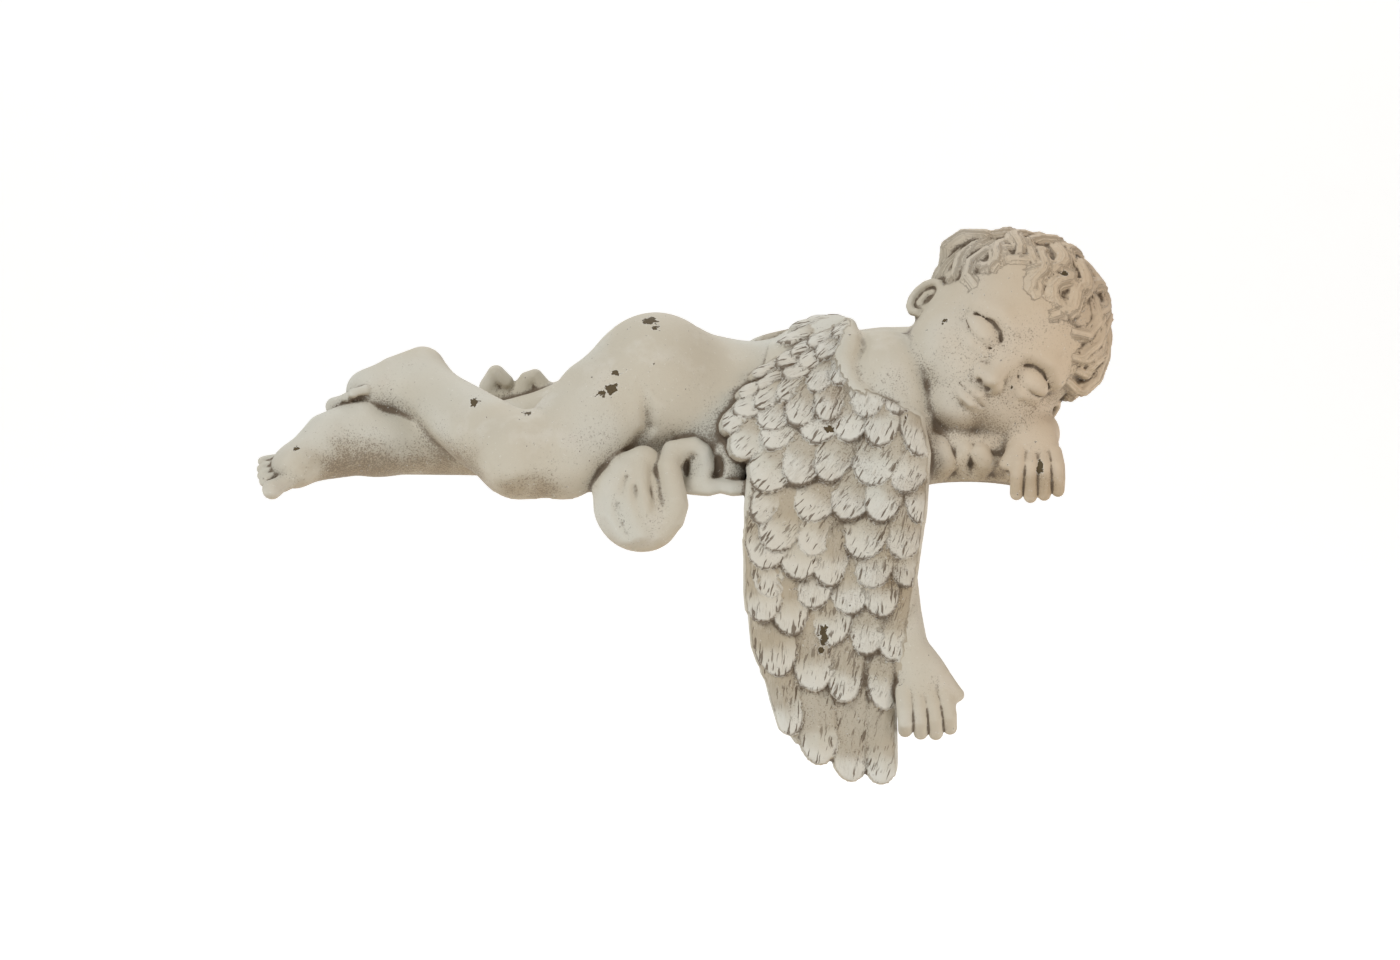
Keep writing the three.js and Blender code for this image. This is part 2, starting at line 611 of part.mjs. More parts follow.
function makeCloth(clay) {
  // The sheet below the child, which shows between the limbs
  clay.add(egg([-64, 14, 0], [42, 34, 14]), 6);
  clay.add(egg([30, -8, 0], [62, 32, 12]), 4);
  clay.add(egg([132, 3, 10], [46, 42, 24]), 6);
  clay.add(egg([-2, -33, 14], [17, 10, 16]), 5);
  makeRuffles(clay);
  // Bunched cloth behind the legs, with its edge rolled over
  clay.add(limb([[-105, 38, 8, 10], [-105, 37, 30, 8], [-105, 34, 46, 6], [-101, 31, 51, 5], [-97, 30, 47, 4]]), 3);
  clay.add(limb([[-97, 36, 24, 9], [-92, 34, 38, 7], [-87, 32, 47, 5], [-80, 33, 42, 5]]), 3);
  clay.add(limb([[-88, 40, 6, 12], [-82, 36, 26, 10], [-74, 33, 38, 7]]), 4);
  clay.add(limb([[-66, 42, 8, 16], [-60, 38, 34, 14], [-48, 36, 44, 12]]), 6);
  // The end of the cloth that hangs before the shelf, in soft folds with a groove between its two lobes
  clay.add(limb([[-34, -44, 12, 11], [-35, -52, 4, 12]]), 4);
  clay.add(egg([-33, -54, -4], [18.5, 12, 20]), 4);
  clay.add(egg([-27, -56, -14], [17, 11, 14]), 5);
  clay.carve(limb([[-24, -53, 17, 1.6], [-24, -64, 7, 2.4], [-22.5, -69, -3, 2.2], [-18, -70, -9, 1.4]]), 2.5);
  clay.add(limb([[-44, -56, 6, 4.5], [-43.5, -61, -8, 5], [-36, -61, -20, 4.5]]), 3);
  clay.add(limb([[-33, -56, 10, 4], [-33.5, -63, -3, 4.4], [-29, -63.5, -18, 4]]), 3);
  clay.add(limb([[-16, -44, 21, 4.5], [-14.5, -54, 10, 6], [-11.5, -58, 0, 6.5], [-12, -59, -9, 7],
    [-18, -58, -16, 7]]), 1.6);
  // It comes out from below the belly in an arch, with a pocket beside it
  clay.carve(egg([-5.5, -48, 14], [4, 7, 8]), 2);
  clay.carve(egg([9, -47, 13], [4.6, 9, 6.5]), 2);
  clay.add(limb([[-13, -46, 18, 4], [-10, -45, 24, 4], [-4, -44, 26.5, 4], [1, -44, 24, 4], [2.5, -44, 15, 3.8],
    [1, -44.5, 6, 3.6]]), 1.6);
  clay.add(limb([[-6, -43, 3.6, 3.4], [4, -45, 4, 3.8], [10, -44, 5, 3.4], [16, -45, 4, 3.6], [25, -42, 4, 3.6]]), 1.6);
}

// Closed surface of the clay: one vertex for each cell that the surface crosses
function surfaceOf(clay) {
  const { low, step, count, field } = clay;
  const [nx, ny] = count;
  const jumps = [1, nx, nx * ny];
  const corners = [];
  for (let n = 0; n < 8; n++) corners.push([n & 1, (n >> 1) & 1, (n >> 2) & 1]);
  const offsets = corners.map(([i, j, k]) => i * jumps[0] + j * jumps[1] + k * jumps[2]);
  const edges = [];
  for (let a = 0; a < 8; a++) for (let b = a + 1; b < 8; b++) if ([1, 2, 4].includes(a ^ b)) edges.push([a, b]);
  const vertexOf = new Int32Array(field.length).fill(-1);
  const positions = [];
  for (let k = 0; k < count[2] - 1; k++) {
    for (let j = 0; j < ny - 1; j++) {
      for (let i = 0; i < nx - 1; i++) {
        const cell = i + nx * (j + ny * k);
        let crossings = 0;
        const sum = [0, 0, 0];
        for (const [a, b] of edges) {
          const fa = field[cell + offsets[a]];
          const fb = field[cell + offsets[b]];
          if (fa < 0 === fb < 0) continue;
          const t = fa / (fa - fb);
          crossings++;
          for (let axis = 0; axis < 3; axis++) sum[axis] += corners[a][axis] + t * (corners[b][axis] - corners[a][axis]);
        }
        if (!crossings) continue;
        vertexOf[cell] = positions.length / 3;
        [i, j, k].forEach((index, axis) => positions.push(low[axis] + step * (index + sum[axis] / crossings)));
      }
    }
  }
  const faces = [];
  for (let k = 1; k < count[2] - 1; k++) {
    for (let j = 1; j < ny - 1; j++) {
      for (let i = 1; i < nx - 1; i++) {
        const cell = i + nx * (j + ny * k);
        for (let axis = 0; axis < 3; axis++) {
          const inside = field[cell] < 0;
          if (inside === field[cell + jumps[axis]] < 0) continue;
          const u = jumps[(axis + 1) % 3];
          const v = jumps[(axis + 2) % 3];
          const ring = [cell, cell - u, cell - u - v, cell - v].map((c) => vertexOf[c]);
          const [a, b, c, d] = inside ? ring : ring.reverse();
          faces.push([a, b, c], [a, c, d]);
        }
      }
    }
  }
  return { positions, faces };
}

// Joins short and flat edges first, by the squared distance to the planes they came from
function simplify({ positions, faces }, wanted) {
  const total = positions.length / 3;
  const places = Array.from({ length: total }, (_, v) => positions.slice(3 * v, 3 * v + 3));
  const point = (v) => places[v];
  const quadrics = Array.from({ length: total }, () => new Float64Array(10));
  const around = Array.from({ length: total }, () => new Set());
  const planeOf = ([a, b, c]) => {
    const [ax, ay, az] = point(a);
    const [bx, by, bz] = point(b);
    const [cx, cy, cz] = point(c);
    const n = [
      (by - ay) * (cz - az) - (bz - az) * (cy - ay),
      (bz - az) * (cx - ax) - (bx - ax) * (cz - az),
      (bx - ax) * (cy - ay) - (by - ay) * (cx - ax),
    ];
    const size = Math.hypot(...n) || 1e-12;
    return [n[0] / size, n[1] / size, n[2] / size, -(n[0] * ax + n[1] * ay + n[2] * az) / size, size / 2];
  };
  faces.forEach((face, f) => {
    const [a, b, c, d, area] = planeOf(face);
    const terms = [a * a, a * b, a * c, a * d, b * b, b * c, b * d, c * c, c * d, d * d];
    for (const v of face) {
      around[v].add(f);
      terms.forEach((term, i) => (quadrics[v][i] += term * area));
    }
  });
  const errorAt = (q, [x, y, z]) =>
    q[0] * x * x + 2 * q[1] * x * y + 2 * q[2] * x * z + 2 * q[3] * x + q[4] * y * y + 2 * q[5] * y * z +
    2 * q[6] * y + q[7] * z * z + 2 * q[8] * z + q[9];
  const bestPlace = (q, a, b) => {
    const m = new THREE.Matrix3().set(q[0], q[1], q[2], q[1], q[4], q[5], q[2], q[5], q[7]);
    const middle = a.map((value, i) => (value + b[i]) / 2);
    const size = Math.hypot(...a.map((value, i) => value - b[i]));
    if (Math.abs(m.determinant()) > 1e-3 * (q[0] + q[4] + q[7]) ** 3 * 1e-2) {
      const p = new THREE.Vector3(-q[3], -q[6], -q[8]).applyMatrix3(m.invert());
      if (Math.hypot(p.x - middle[0], p.y - middle[1], p.z - middle[2]) < size) return [p.x, p.y, p.z];
    }
    const choices = [middle, a, b];
    return choices.reduce((best, p) => (errorAt(q, p) < errorAt(q, best) ? p : best));
  };
  const stamp = new Int32Array(total);
  const heap = [];
  const swap = (i, j) => ([heap[i], heap[j]] = [heap[j], heap[i]]);
  const push = (entry) => {
    let i = heap.push(entry) - 1;
    while (i > 0 && heap[(i - 1) >> 1].cost > heap[i].cost) {
      swap(i, (i - 1) >> 1);
      i = (i - 1) >> 1;
    }
  };
  const pop = () => {
    const top = heap[0];
    const last = heap.pop();
    if (heap.length) heap[0] = last;
    for (let i = 0; ; ) {
      let least = i;
      for (const child of [2 * i + 1, 2 * i + 2]) {
        if (child < heap.length && heap[child].cost < heap[least].cost) least = child;
      }
      if (least === i) return top;
      swap(i, least);
      i = least;
    }
  };
  const offer = (a, b) => {
    const q = quadrics[a].map((value, i) => value + quadrics[b][i]);
    const [pa, pb] = [point(a), point(b)];
    const place = bestPlace(q, pa, pb);
    const reach = Math.hypot(...pa.map((value, i) => value - pb[i]));
    push({ cost: errorAt(q, place) + 1e-4 * reach * reach, a, b, place, stamp: stamp[a] + stamp[b], q });
  };
  const neighbours = (v) => new Set([...around[v]].flatMap((f) => faces[f]).filter((w) => w !== v));
  faces.forEach(([a, b, c]) => [[a, b], [b, c], [c, a]].forEach(([p, q]) => p < q && offer(p, q)));
  let left = faces.length;
  const turns = (v, other, place) => [...around[v]].some((f) => {
    if (faces[f].includes(other)) return false;
    const before = planeOf(faces[f]);
    const kept = places[v];
    places[v] = place;
    const after = planeOf(faces[f]);
    places[v] = kept;
    return before[0] * after[0] + before[1] * after[1] + before[2] * after[2] < 0.3 || after[4] < 1e-3;
  });
  while (left > wanted && heap.length) {
    const { a, b, place, stamp: made, q } = pop();
    if (!around[a].size || !around[b].size || made !== stamp[a] + stamp[b]) continue;
    const near = neighbours(a);
    if (!near.has(b)) continue;
    const shared = [...neighbours(b)].filter((v) => near.has(v));
    if (shared.length !== 2 || turns(a, b, place) || turns(b, a, place)) continue;
    places[a] = place;
    for (const f of around[b]) {
      if (faces[f].includes(a)) {
        faces[f].forEach((v) => v !== b && around[v].delete(f));
        faces[f] = null;
        left--;
      } else {
        faces[f] = faces[f].map((v) => (v === b ? a : v));
        around[a].add(f);
      }
    }
    around[b].clear();
    quadrics[a] = q;
    stamp[a]++;
    stamp[b] = -1e9;
    for (const v of neighbours(a)) offer(Math.min(a, v), Math.max(a, v));
  }
  return { positions: places.flat(), faces: faces.filter(Boolean) };
}

// manifold-3d takes away the space of the shelf, which leaves a flat underside and flat backs
const wasm = await Module();
wasm.setup();

function solidOf(geometry) {
  const bare = geometry.clone();
  bare.deleteAttribute('normal');
  bare.deleteAttribute('uv');
  const merged = mergeVertices(bare, 1e-4);
  return new wasm.Manifold(new wasm.Mesh({
    numProp: 3,
    vertProperties: new Float32Array(merged.attributes.position.array),
    triVerts: new Uint32Array(merged.index.array),
  }));
}

function geometryOf(positions, triangles) {
  return new THREE.BufferGeometry()
    .setAttribute('position', new THREE.BufferAttribute(new Float32Array(positions), 3))
    .setIndex(new THREE.BufferAttribute(new Uint32Array(triangles), 1));
}

function cutShelf({ positions, faces }) {
  const size = 3 * figureLength;
  const shelf = new THREE.BoxGeometry(size, size, size).translate(0, frontPlane + size / 2, -size / 2);
  const cut = solidOf(geometryOf(positions, faces.flat())).subtract(solidOf(shelf));
  const largest = cut.decompose().reduce((best, piece) => (piece.volume() > best.volume() ? piece : best));
  const mesh = largest.getMesh();
  const corners = [];
  for (let i = 0; i < mesh.triVerts.length; i += 3) corners.push([...mesh.triVerts.slice(i, i + 3)]);
  return { positions: [...mesh.vertProperties], faces: corners };
}

const clay = new Clay(
  [-232 * unit, -92 * unit, -wingDrop - 12 * unit],
  [222 * unit, 132 * unit, 142 * unit],
  sampleStep,
);
makeTorso(clay);
makeCloth(clay);
makeLegs(clay);
makeArms(clay);
makeHead(clay);
makeHair(clay);
makeNearWing(clay);
makeFarWing(clay);
const surface = simplify(cutShelf(surfaceOf(clay)), keptTriangles);

const angel = new THREE.Mesh(
  geometryOf(surface.positions, surface.faces.flat()),
  new THREE.MeshStandardMaterial({ color: 0xc9c0ae, roughness: 0.8, metalness: 0 }),
);
angel.name = 'sleeping_angel';

const model = new THREE.Group();
model.add(angel);
export default model;
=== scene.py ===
import math
import time

import bpy
import numpy as np
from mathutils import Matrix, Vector


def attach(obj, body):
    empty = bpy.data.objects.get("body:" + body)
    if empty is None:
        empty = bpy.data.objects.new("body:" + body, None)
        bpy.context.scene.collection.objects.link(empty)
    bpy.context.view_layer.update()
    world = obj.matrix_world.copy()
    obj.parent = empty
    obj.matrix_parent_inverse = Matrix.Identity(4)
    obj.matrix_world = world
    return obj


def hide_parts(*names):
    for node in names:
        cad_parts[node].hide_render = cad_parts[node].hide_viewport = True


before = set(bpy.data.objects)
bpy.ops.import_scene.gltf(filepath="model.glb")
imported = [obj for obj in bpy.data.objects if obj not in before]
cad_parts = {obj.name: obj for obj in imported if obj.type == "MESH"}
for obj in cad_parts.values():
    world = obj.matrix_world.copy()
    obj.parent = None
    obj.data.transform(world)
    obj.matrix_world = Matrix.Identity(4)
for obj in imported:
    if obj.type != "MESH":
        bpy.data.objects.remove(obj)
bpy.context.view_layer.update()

startTime = time.time()


def note(text):
    print(f"[{time.time() - startTime:5.1f} s] {text}")


# The figure is shaped in millimetres, like the part, and turned into metres at the end.
# It is sculpted as clay: a grid of distances to the surface, negative inside.

sculpting = {
    "step": 0.85,
    "triangles": 190000,
    "frontPlane": -46.0,
    "low": (-232.0, -92.0, -158.0),
    "high": (222.0, 132.0, 142.0),
}


def smoothMin(a, b, blend):
    share = np.maximum(blend - np.abs(a - b), 0) / blend
    return np.minimum(a, b) - share * share * (blend / 4)


def smoothStep(value, low, high):
    t = np.clip((value - low) / (high - low), 0, 1)
    return t * t * (3 - 2 * t)


class Clay:
    def __init__(self, low, high, step):
        self.low = np.array(low)
        self.step = step
        self.count = (np.ceil((np.array(high) - self.low) / step) + 1).astype(int)
        self.field = np.full(self.count, 20 * step, np.float32)

    def visit(self, shape, reach, change):
        low, high, distance = shape
        first = np.maximum(0, np.floor((np.array(low) - reach - self.low) / self.step)).astype(int)
        last = np.ceil((np.array(high) + reach - self.low) / self.step)
        last = np.minimum(self.count - 1, last).astype(int) + 1
        if (last <= first).any():
            return
        ranges = [self.low[a] + self.step * np.arange(first[a], last[a]) for a in range(3)]
        x, y, z = np.ix_(*[r.astype(np.float32) for r in ranges])
        part = self.field[first[0]:last[0], first[1]:last[1], first[2]:last[2]]
        part[...] = change(part, distance(x, y, z))

    def add(self, shape, blend):
        self.visit(shape, blend + 3, lambda old, gap: smoothMin(old, gap, blend))

    def carve(self, shape, blend):
        self.visit(shape, blend + 3, lambda old, gap: -smoothMin(-old, gap, blend))


# Basic shapes: (low corner, high corner, distance function)

def boxAround(points):
    points = np.array(points, float)
    return (points[:, :3] - points[:, 3:]).min(axis=0), (points[:, :3] + points[:, 3:]).max(axis=0)


def limb(points):  # a rounded limb through (x, y, z, radius)
    low, high = boxAround(points)

    def distance(x, y, z):
        nearest = np.inf
        for (ax, ay, az, ar), (bx, by, bz, br) in zip(points[:-1], points[1:]):
            dx, dy, dz = bx - ax, by - ay, bz - az
            size = dx * dx + dy * dy + dz * dz
            t = np.clip((x - ax) * (dx / size) + (y - ay) * (dy / size) + (z - az) * (dz / size), 0, 1)
            gap = np.sqrt((x - ax - t * dx) ** 2 + (y - ay - t * dy) ** 2 + (z - az - t * dz) ** 2)
            nearest = np.minimum(nearest, gap - (ar + t * (br - ar)))
        return nearest

    return low, high, distance


class Place:  # a spot on the figure with axes of its own: across, up and forward
    def __init__(self, origin, upward, forward):
        self.origin = np.array(origin, float)
        up = np.array(upward, float) / np.linalg.norm(upward)
        across = np.cross(up, forward)
        across /= np.linalg.norm(across)
        self.axes = np.array([across, up, np.cross(across, up)])

    def point(self, p):
        return self.origin + np.array(p[:3]) @ self.axes

    def limb(self, points):
        return limb([(*self.point(p), p[3]) for p in points])


world = Place((0, 0, 0), (0, 1, 0), (0, 0, 1))


def egg(centre, radii, place=world):  # an ellipsoid
    middle = place.point(centre)
    low, high = boxAround([(*middle, max(radii))])

    def distance(x, y, z):
        size = 0
        slope = 0
        for axis, radius in zip(place.axes, radii):
            a = (x - middle[0]) * axis[0] + (y - middle[1]) * axis[1] + (z - middle[2]) * axis[2]
            a = a * (1 / radius)
            size = size + a * a
            slope = slope + (a * (1 / radius)) ** 2
        size = np.sqrt(size)
        return size * (size - 1) / np.maximum(np.sqrt(slope), 1e-6)

    return low, high, distance


# Body: belly on the shelf, hips and back raised, the near leg crossed over the far one

torso = [  # centre, radii, blend
    ((18, 0, 33), (42, 40, 37.5), 1),
    ((64, 2, 38), (44, 43, 39.5), 18),
    ((94, 4, 44), (25, 44, 30), 16),
    ((-13, 3, 38), (40, 42, 39), 16),
    ((-22, -15, 51), (33, 32, 36.2), 10),
    ((-25, 24, 48), (33, 31, 35.4), 9),
]

# Between the near thigh and the belly
groin = [
    (-31, -50, 58, 0.5), (-27, -49, 46, 1.2), (-25, -44.5, 32, 2.4), (-31, -44, 23, 2.8),
    (-41, -48, 12, 2.5), (-50, -52, 3, 2),
]

farLeg = {
    "thigh": [(-28, 22, 44, 30), (-62, 24, 27, 25), (-92, 20, 20, 20)],
    "shin": [(-92, 20, 20, 19), (-122, 8, 20, 17), (-162, -8, 20, 15)],
    "foot": {
        "heel": (-172, -11, 31), "instep": (-187, -21, 26), "ankle": (-162, -8, 20),
        "ball": (-202, -35, 11.5), "toes": (-214, -43, 6.5), "sole": (-0.1, -0.6, 0.7),
        "width": 10, "bigToe": 1,
    },
}

nearLeg = {
    "thigh": [(-25, -14, 50, 32), (-46, -21, 38, 29), (-68, -35, 19, 25.5), (-89, -41, 17.5, 21)],
    "shin": [(-89, -41, 17.5, 20.3), (-109, -24, 28, 19), (-136, -1, 44.5, 15)],
    "foot": {
        "heel": (-141, 8, 57), "instep": (-154.5, 4, 53), "ankle": (-138, 2, 46),
        "ball": (-168.5, -1, 47), "toes": (-183, -5.5, 43.5), "sole": (-0.5, 0.1, 0.86),
        "width": 9.7, "bigToe": -1,
    },
}


def addEggs(clay, eggs):
    for centre, radii, blend in eggs:
        clay.add(egg(centre, radii), blend)


def makeBody(clay):
    addEggs(clay, torso)
    clay.add(limb([(100, 4, 53.5, 22), (132, -2, 62, 22)]), 12)
    for leg, blends in ((farLeg, (10, 8)), (nearLeg, (6, 5))):
        clay.add(limb(leg["thigh"]), blends[0])
        clay.add(limb(leg["shin"]), blends[1])
        makeFoot(clay, **leg["foot"])
    clay.carve(limb(groin), 4)


def makeFoot(clay, heel, instep, ankle, ball, toes, sole, width, bigToe):
    along = np.array(toes) - np.array(ball)
    length = np.linalg.norm(along)
    front = Place(ball, sole, along)
    clay.add(limb([(*heel, 1.2 * width), (*instep, 1.12 * width), (*ball, 0.9 * width)]), 6)
    clay.add(limb([(*ankle, 1.4 * width), (*ball, 0.85 * width)]), 7)
    clay.add(egg((0, 0, -2), (width * 1.15, width * 0.72, width), front), 5)
    for toe in range(5):
        radius = 5 if toe == 0 else 3.1 - 0.15 * toe
        side = bigToe * (width * 0.62 if toe == 0 else width * 0.62 - 3.2 - 4.1 * toe)
        reach = length + 1.5 - 0.45 * toe * toe
        clay.add(front.limb([
            (side * 0.85, -0.5, length * 0.2, radius), (side, 0.6, reach * 0.75, radius * 0.85),
            (side, 0.9, reach, radius),
        ]), 0.9)


nearArm = {
    "upper": [(91, -25, 55, 24), (96, -33, 34, 20), (95.5, -46, 4, 15.4)],
    "lower": [(95.5, -46, 4, 15.4), (93, -50, -30, 13), (97, -53, -58, 12.2), (102.5, -55.5, -78, 10.4)],
    "hand": {"origin": (109, -57, -91), "upward": (-0.16, 0.05, 1), "forward": (0.1, -1, -0.05)},
    "thumbSide": 1,
    "handSize": 1,
}

farArm = {
    "upper": [(96, 34, 46, 21), (128, 42, 26, 16), (160, 36, 20, 15)],
    "lower": [(160, 36, 20, 15), (167.5, 10, 24, 14.5), (167, -24, 27, 12.8)],
    "hand": {"origin": (166.3, -40, 21.5), "upward": (0.02, 0.5, 0.75), "forward": (0, -0.85, 0.5)},
    "thumbSide": -1,
    "handSize": 0.92,
}


def makeArms(clay):
    for arm in (nearArm, farArm):
        clay.add(limb(arm["upper"]), 8)
        clay.add(limb(arm["lower"]), 6)
        makeHand(clay, Place(**arm["hand"]), arm["thumbSide"], arm["handSize"])


def makeHand(clay, hand, thumbSide, size):  # thumbSide is 1 where the thumb is on the right
    def sized(points):
        return [tuple(v * size for v in p) for p in points]

    clay.add(egg((0, 1, 0), (12.5 * size, 15 * size, 8.5 * size), hand), 6)
    for finger in range(4):
        side = thumbSide * (10.8 - 7.4 * finger)
        reach = -27 + (2.5 if finger == 3 else 0) - (1.5 if finger == 1 else 0)
        clay.add(hand.limb(sized([
            (side * 0.8, -4, 2, 4.8), (side * 0.94, -13, 4.6, 4.2), (side, -20, 3.2, 3.7),
            (side, reach, -2, 3.6),
        ])), 0.8)
    clay.add(hand.limb(sized([
        (thumbSide * 2, 8, 0, 5.8), (thumbSide * 10, -1, 1, 4.6), (thumbSide * 16.5, -11, 2, 3.4),
    ])), 4)


# Head: up points to the crown, forward out of the face. The face is a plain sleeping child's face.

head = {
    "place": Place((155, -11, 76.5), (0.7, 0.05, 0.71), (0.09, -1, -0.08)),
    "capCentre": np.array((1, 5, -7)),
    "capRadii": np.array((45.5, 46, 46)),
}


def mirrored(side, points):  # points given for side 1
    return [(side * x, *rest) for x, *rest in points]


def makeHead(clay):
    here = head["place"]
    clay.add(egg((0, 4, -6), (42, 42, 43), here), 8)
    clay.add(egg((0, -14, 2), (41, 40, 37), here), 6)
    clay.add(egg((0, 6, 8), (36, 30, 32), here), 8)  # forehead
    clay.add(egg((0, -34, 21), (19, 16, 16.5), here), 8)  # around the mouth
    for side in (-1, 1):
        clay.add(egg((side * 20, -27.5, 16), (18.5, 17, 17.5), here), 8)  # cheek
        clay.carve(egg((side * 16.5, -8, 46), (12, 8.5, 9), here), 5)  # eye socket
        makeEye(clay, here, side)
        brow = [(6, -1.5, 36, 2.6), (17, 2, 35.5, 3.2), (28, -2, 29.5, 2.5)]
        clay.add(here.limb(mirrored(side, brow)), 6)
        makeEar(clay, side)
    clay.add(egg((0, -47, 22), (12, 9, 12), here), 7)  # chin
    makeNose(clay, here)
    makeMouth(clay, here)


def makeEye(clay, here, side):  # closed
    clay.add(egg((side * 17, -11, 30.5), (11, 7.5, 8.5), here), 2)
    fold = [(7.5, -8, 36.4, 0.8), (12, -4.6, 37, 1), (18, -3.8, 36, 1), (26, -7, 31.6, 0.8)]
    lashes = [(8, -13.2, 36, 0.4), (12, -15.8, 38.2, 0.8), (18, -16.6, 38, 0.9), (23.5, -15, 35.6, 0.8),
              (27.5, -12.2, 31.6, 0.4)]
    below = [(10, -17.8, 35.4, 1.6), (18, -19.2, 35.4, 2), (26, -16.5, 31, 1.5)]
    clay.carve(here.limb(mirrored(side, fold)), 2.5)
    clay.carve(here.limb(mirrored(side, lashes)), 0.9)
    clay.add(here.limb(mirrored(side, below)), 3)


def makeNose(clay, here):
    clay.add(here.limb([(0, -4, 34.5, 3.6), (0, -16, 38.5, 3.8), (0, -24, 42, 4.6)]), 6)
    for side in (-1, 1):
        clay.add(egg((side * 5, -25.8, 37.6), (3, 3.2, 4.2), here), 3.5)
        clay.carve(egg((side * 2.9, -29.4, 40.4), (1.1, 0.9, 1.4), here), 1.8)  # nostril
    clay.carve(here.limb([(0, -30.5, 41, 0.8), (0, -33.5, 41, 1.2)]), 1.5)  # below the nose


def makeMouth(clay, here):
    def bothSides(half, middle=()):  # a limb from corner to corner
        return here.limb(mirrored(-1, half) + [*middle] + half[::-1])

    upper = [(8, -37, 33.8, 1.2), (4.6, -35.4, 36.6, 2), (1.8, -34.4, 38.2, 2.4)]
    clay.add(bothSides(upper, [(0, -34.8, 38.2, 2.2)]), 3)
    clay.add(bothSides([(5.6, -39.4, 34.4, 1.5), (2, -40.4, 36.8, 2.8)]), 3)
    clay.carve(bothSides([(8.4, -37, 36, 0.4), (4.6, -37.4, 38.8, 0.6)], [(0, -37.8, 40.6, 0.7)]), 1)
    clay.carve(bothSides([(4, -44.4, 37.8, 1.2)]), 3)  # above the chin


def makeEar(clay, side):  # a rim round a dish, open towards the face
    here = head["place"]
    outward = here.axes.T @ np.array((side * 0.8, 0, 0.6))
    ear = Place(here.point((side * 41.5, -17, -2)), here.axes[1], outward)
    turns = np.radians(np.arange(-120, 181, 30))
    rim = [(side * 6.8 * math.cos(a), 9.6 * math.sin(a), 2, 2.1) for a in turns]
    clay.add(egg((0, 0, -4), (7, 10, 6.5), ear), 3)
    clay.add(ear.limb(rim), 1.2)
    clay.carve(egg((0, 0.5, 4), (4.4, 6.8, 4), ear), 1.5)
    clay.add(ear.limb([(0, 6, 0, 1.1), (2.2 * side, 1.5, 0.6, 1.3), (1.4 * side, -4, 0.8, 1.4)]), 1)


# Hair: locks that walk over the cap from the crown, swing from side to side and hook at their ends

hair = {
    "rings": [  # locks in the ring, start and sweep in degrees from the crown, radius, hook in degrees
        (9, 3, 42, 6.4, 20), (13, 27, 42, 6.6, 40), (16, 50, 40, 6.2, 80), (18, 70, 38, 5.6, 130),
    ],
    "crown": (0, 0.8, -0.6),
    "toFace": (0, 0.6, 0.8),
    "hairline": {"up": 0.748, "ahead": -0.665, "least": -2},
    "sunk": 2.8,
    "wave": 40,
    "strandPitch": 2.6,
    "strandDepth": 0.9,
    "laid": [  # locks laid one by one, as (across, up, radius) on the front of the head
        [(-20, 28.6, 4.5), (-14, 36, 5), (-6, 39, 5), (2, 35, 4.6), (4.5, 25, 4), (0, 18, 2.6)],
        [(-34, 28, 4.5), (-40, 20, 5), (-42, 11, 4.6), (-40, 4, 4), (-36, 3, 3)],
        [(-36, 36, 5), (-38, 27, 4.5), (-32, 24, 4), (-26, 30, 3.4)],
        [(-30, 38, 4.5), (-24, 33, 4.5), (-17, 29, 4), (-12, 22, 2.6)],
        [(40, 20, 5), (47, 16, 5), (47.5, 8, 4.5), (40, 3, 4), (32, 2, 3)],
        [(14, 40, 5), (22, 34, 5), (22, 25, 4.4), (15, 21, 3)],
        [(28, 34, 5), (34, 26, 5), (31, 17, 4), (25, 13, 3)],
        [(36, 28, 5), (41, 20, 4.6), (38, 12, 4), (33, 10, 3)],
    ],
    "tufts": [  # locks that stand off the cap, as (across, up, ahead, radius) on the head
        [(-42, 25, -6, 5), (-47.5, 18, -10, 6), (-49.5, 10, -12, 5.4), (-46, 3, -10, 4)],
        [(34, 32, 4, 5), (39.5, 24, 8, 6), (44, 14, 10, 5.6), (44, 6, 12, 4.6), (39, 2, 14, 3.4)],
    ],
}


class Lock:  # a limb on the head with grooves along it
    def __init__(self, points):
        self.points = points
        self.low, self.high = boxAround(points)
        middle = np.array(points[len(points) // 2][:3]) - onHead(head["capCentre"])
        self.away = middle / np.linalg.norm(middle)

    def measure(self, x, y, z):  # distance to the plain limb, and how far off its middle line
        nearest, side = np.inf, 0.0
        for (ax, ay, az, ar), (bx, by, bz, br) in zip(self.points[:-1], self.points[1:]):
            d = np.array((bx - ax, by - ay, bz - az))
            size = d @ d
            t = np.clip((x - ax) * (d[0] / size) + (y - ay) * (d[1] / size) + (z - az) * (d[2] / size), 0, 1)
            gx, gy, gz = x - ax - t * d[0], y - ay - t * d[1], z - az - t * d[2]
            gap = np.sqrt(gx * gx + gy * gy + gz * gz) - ar - t * (br - ar)
            s = np.cross(d / math.sqrt(size), self.away)
            s = s / np.linalg.norm(s)
            here = gx * s[0] + gy * s[1] + gz * s[2]
            side = np.where(gap < nearest, here, side)
            nearest = np.minimum(nearest, gap)
        return nearest, side

    def shape(self):
        def distance(x, y, z):
            gap, side = self.measure(x, y, z)
            groove = 0.5 + 0.5 * np.cos(side * (2 * math.pi / hair["strandPitch"]))
            return gap + hair["strandDepth"] * groove

        return self.low, self.high, distance


def makeHair(clay):
    clay.add(hairCap(head["place"]), 3)
    locks = []
    for row, (count, *ring) in enumerate(hair["rings"]):
        for i in range(count):
            turn = (i + 0.5 * (row % 2)) / count * 2 * math.pi
            locks.append(makeLock(turn, i + 3 * row, *ring))
    locks += [layLock(lock) for lock in hair["laid"]]
    locks += [Lock([(*onHead(p), p[3]) for p in tuft]) for tuft in hair["tufts"]]
    for lock in locks:
        clay.add(lock.shape(), 1.5)
    return locks


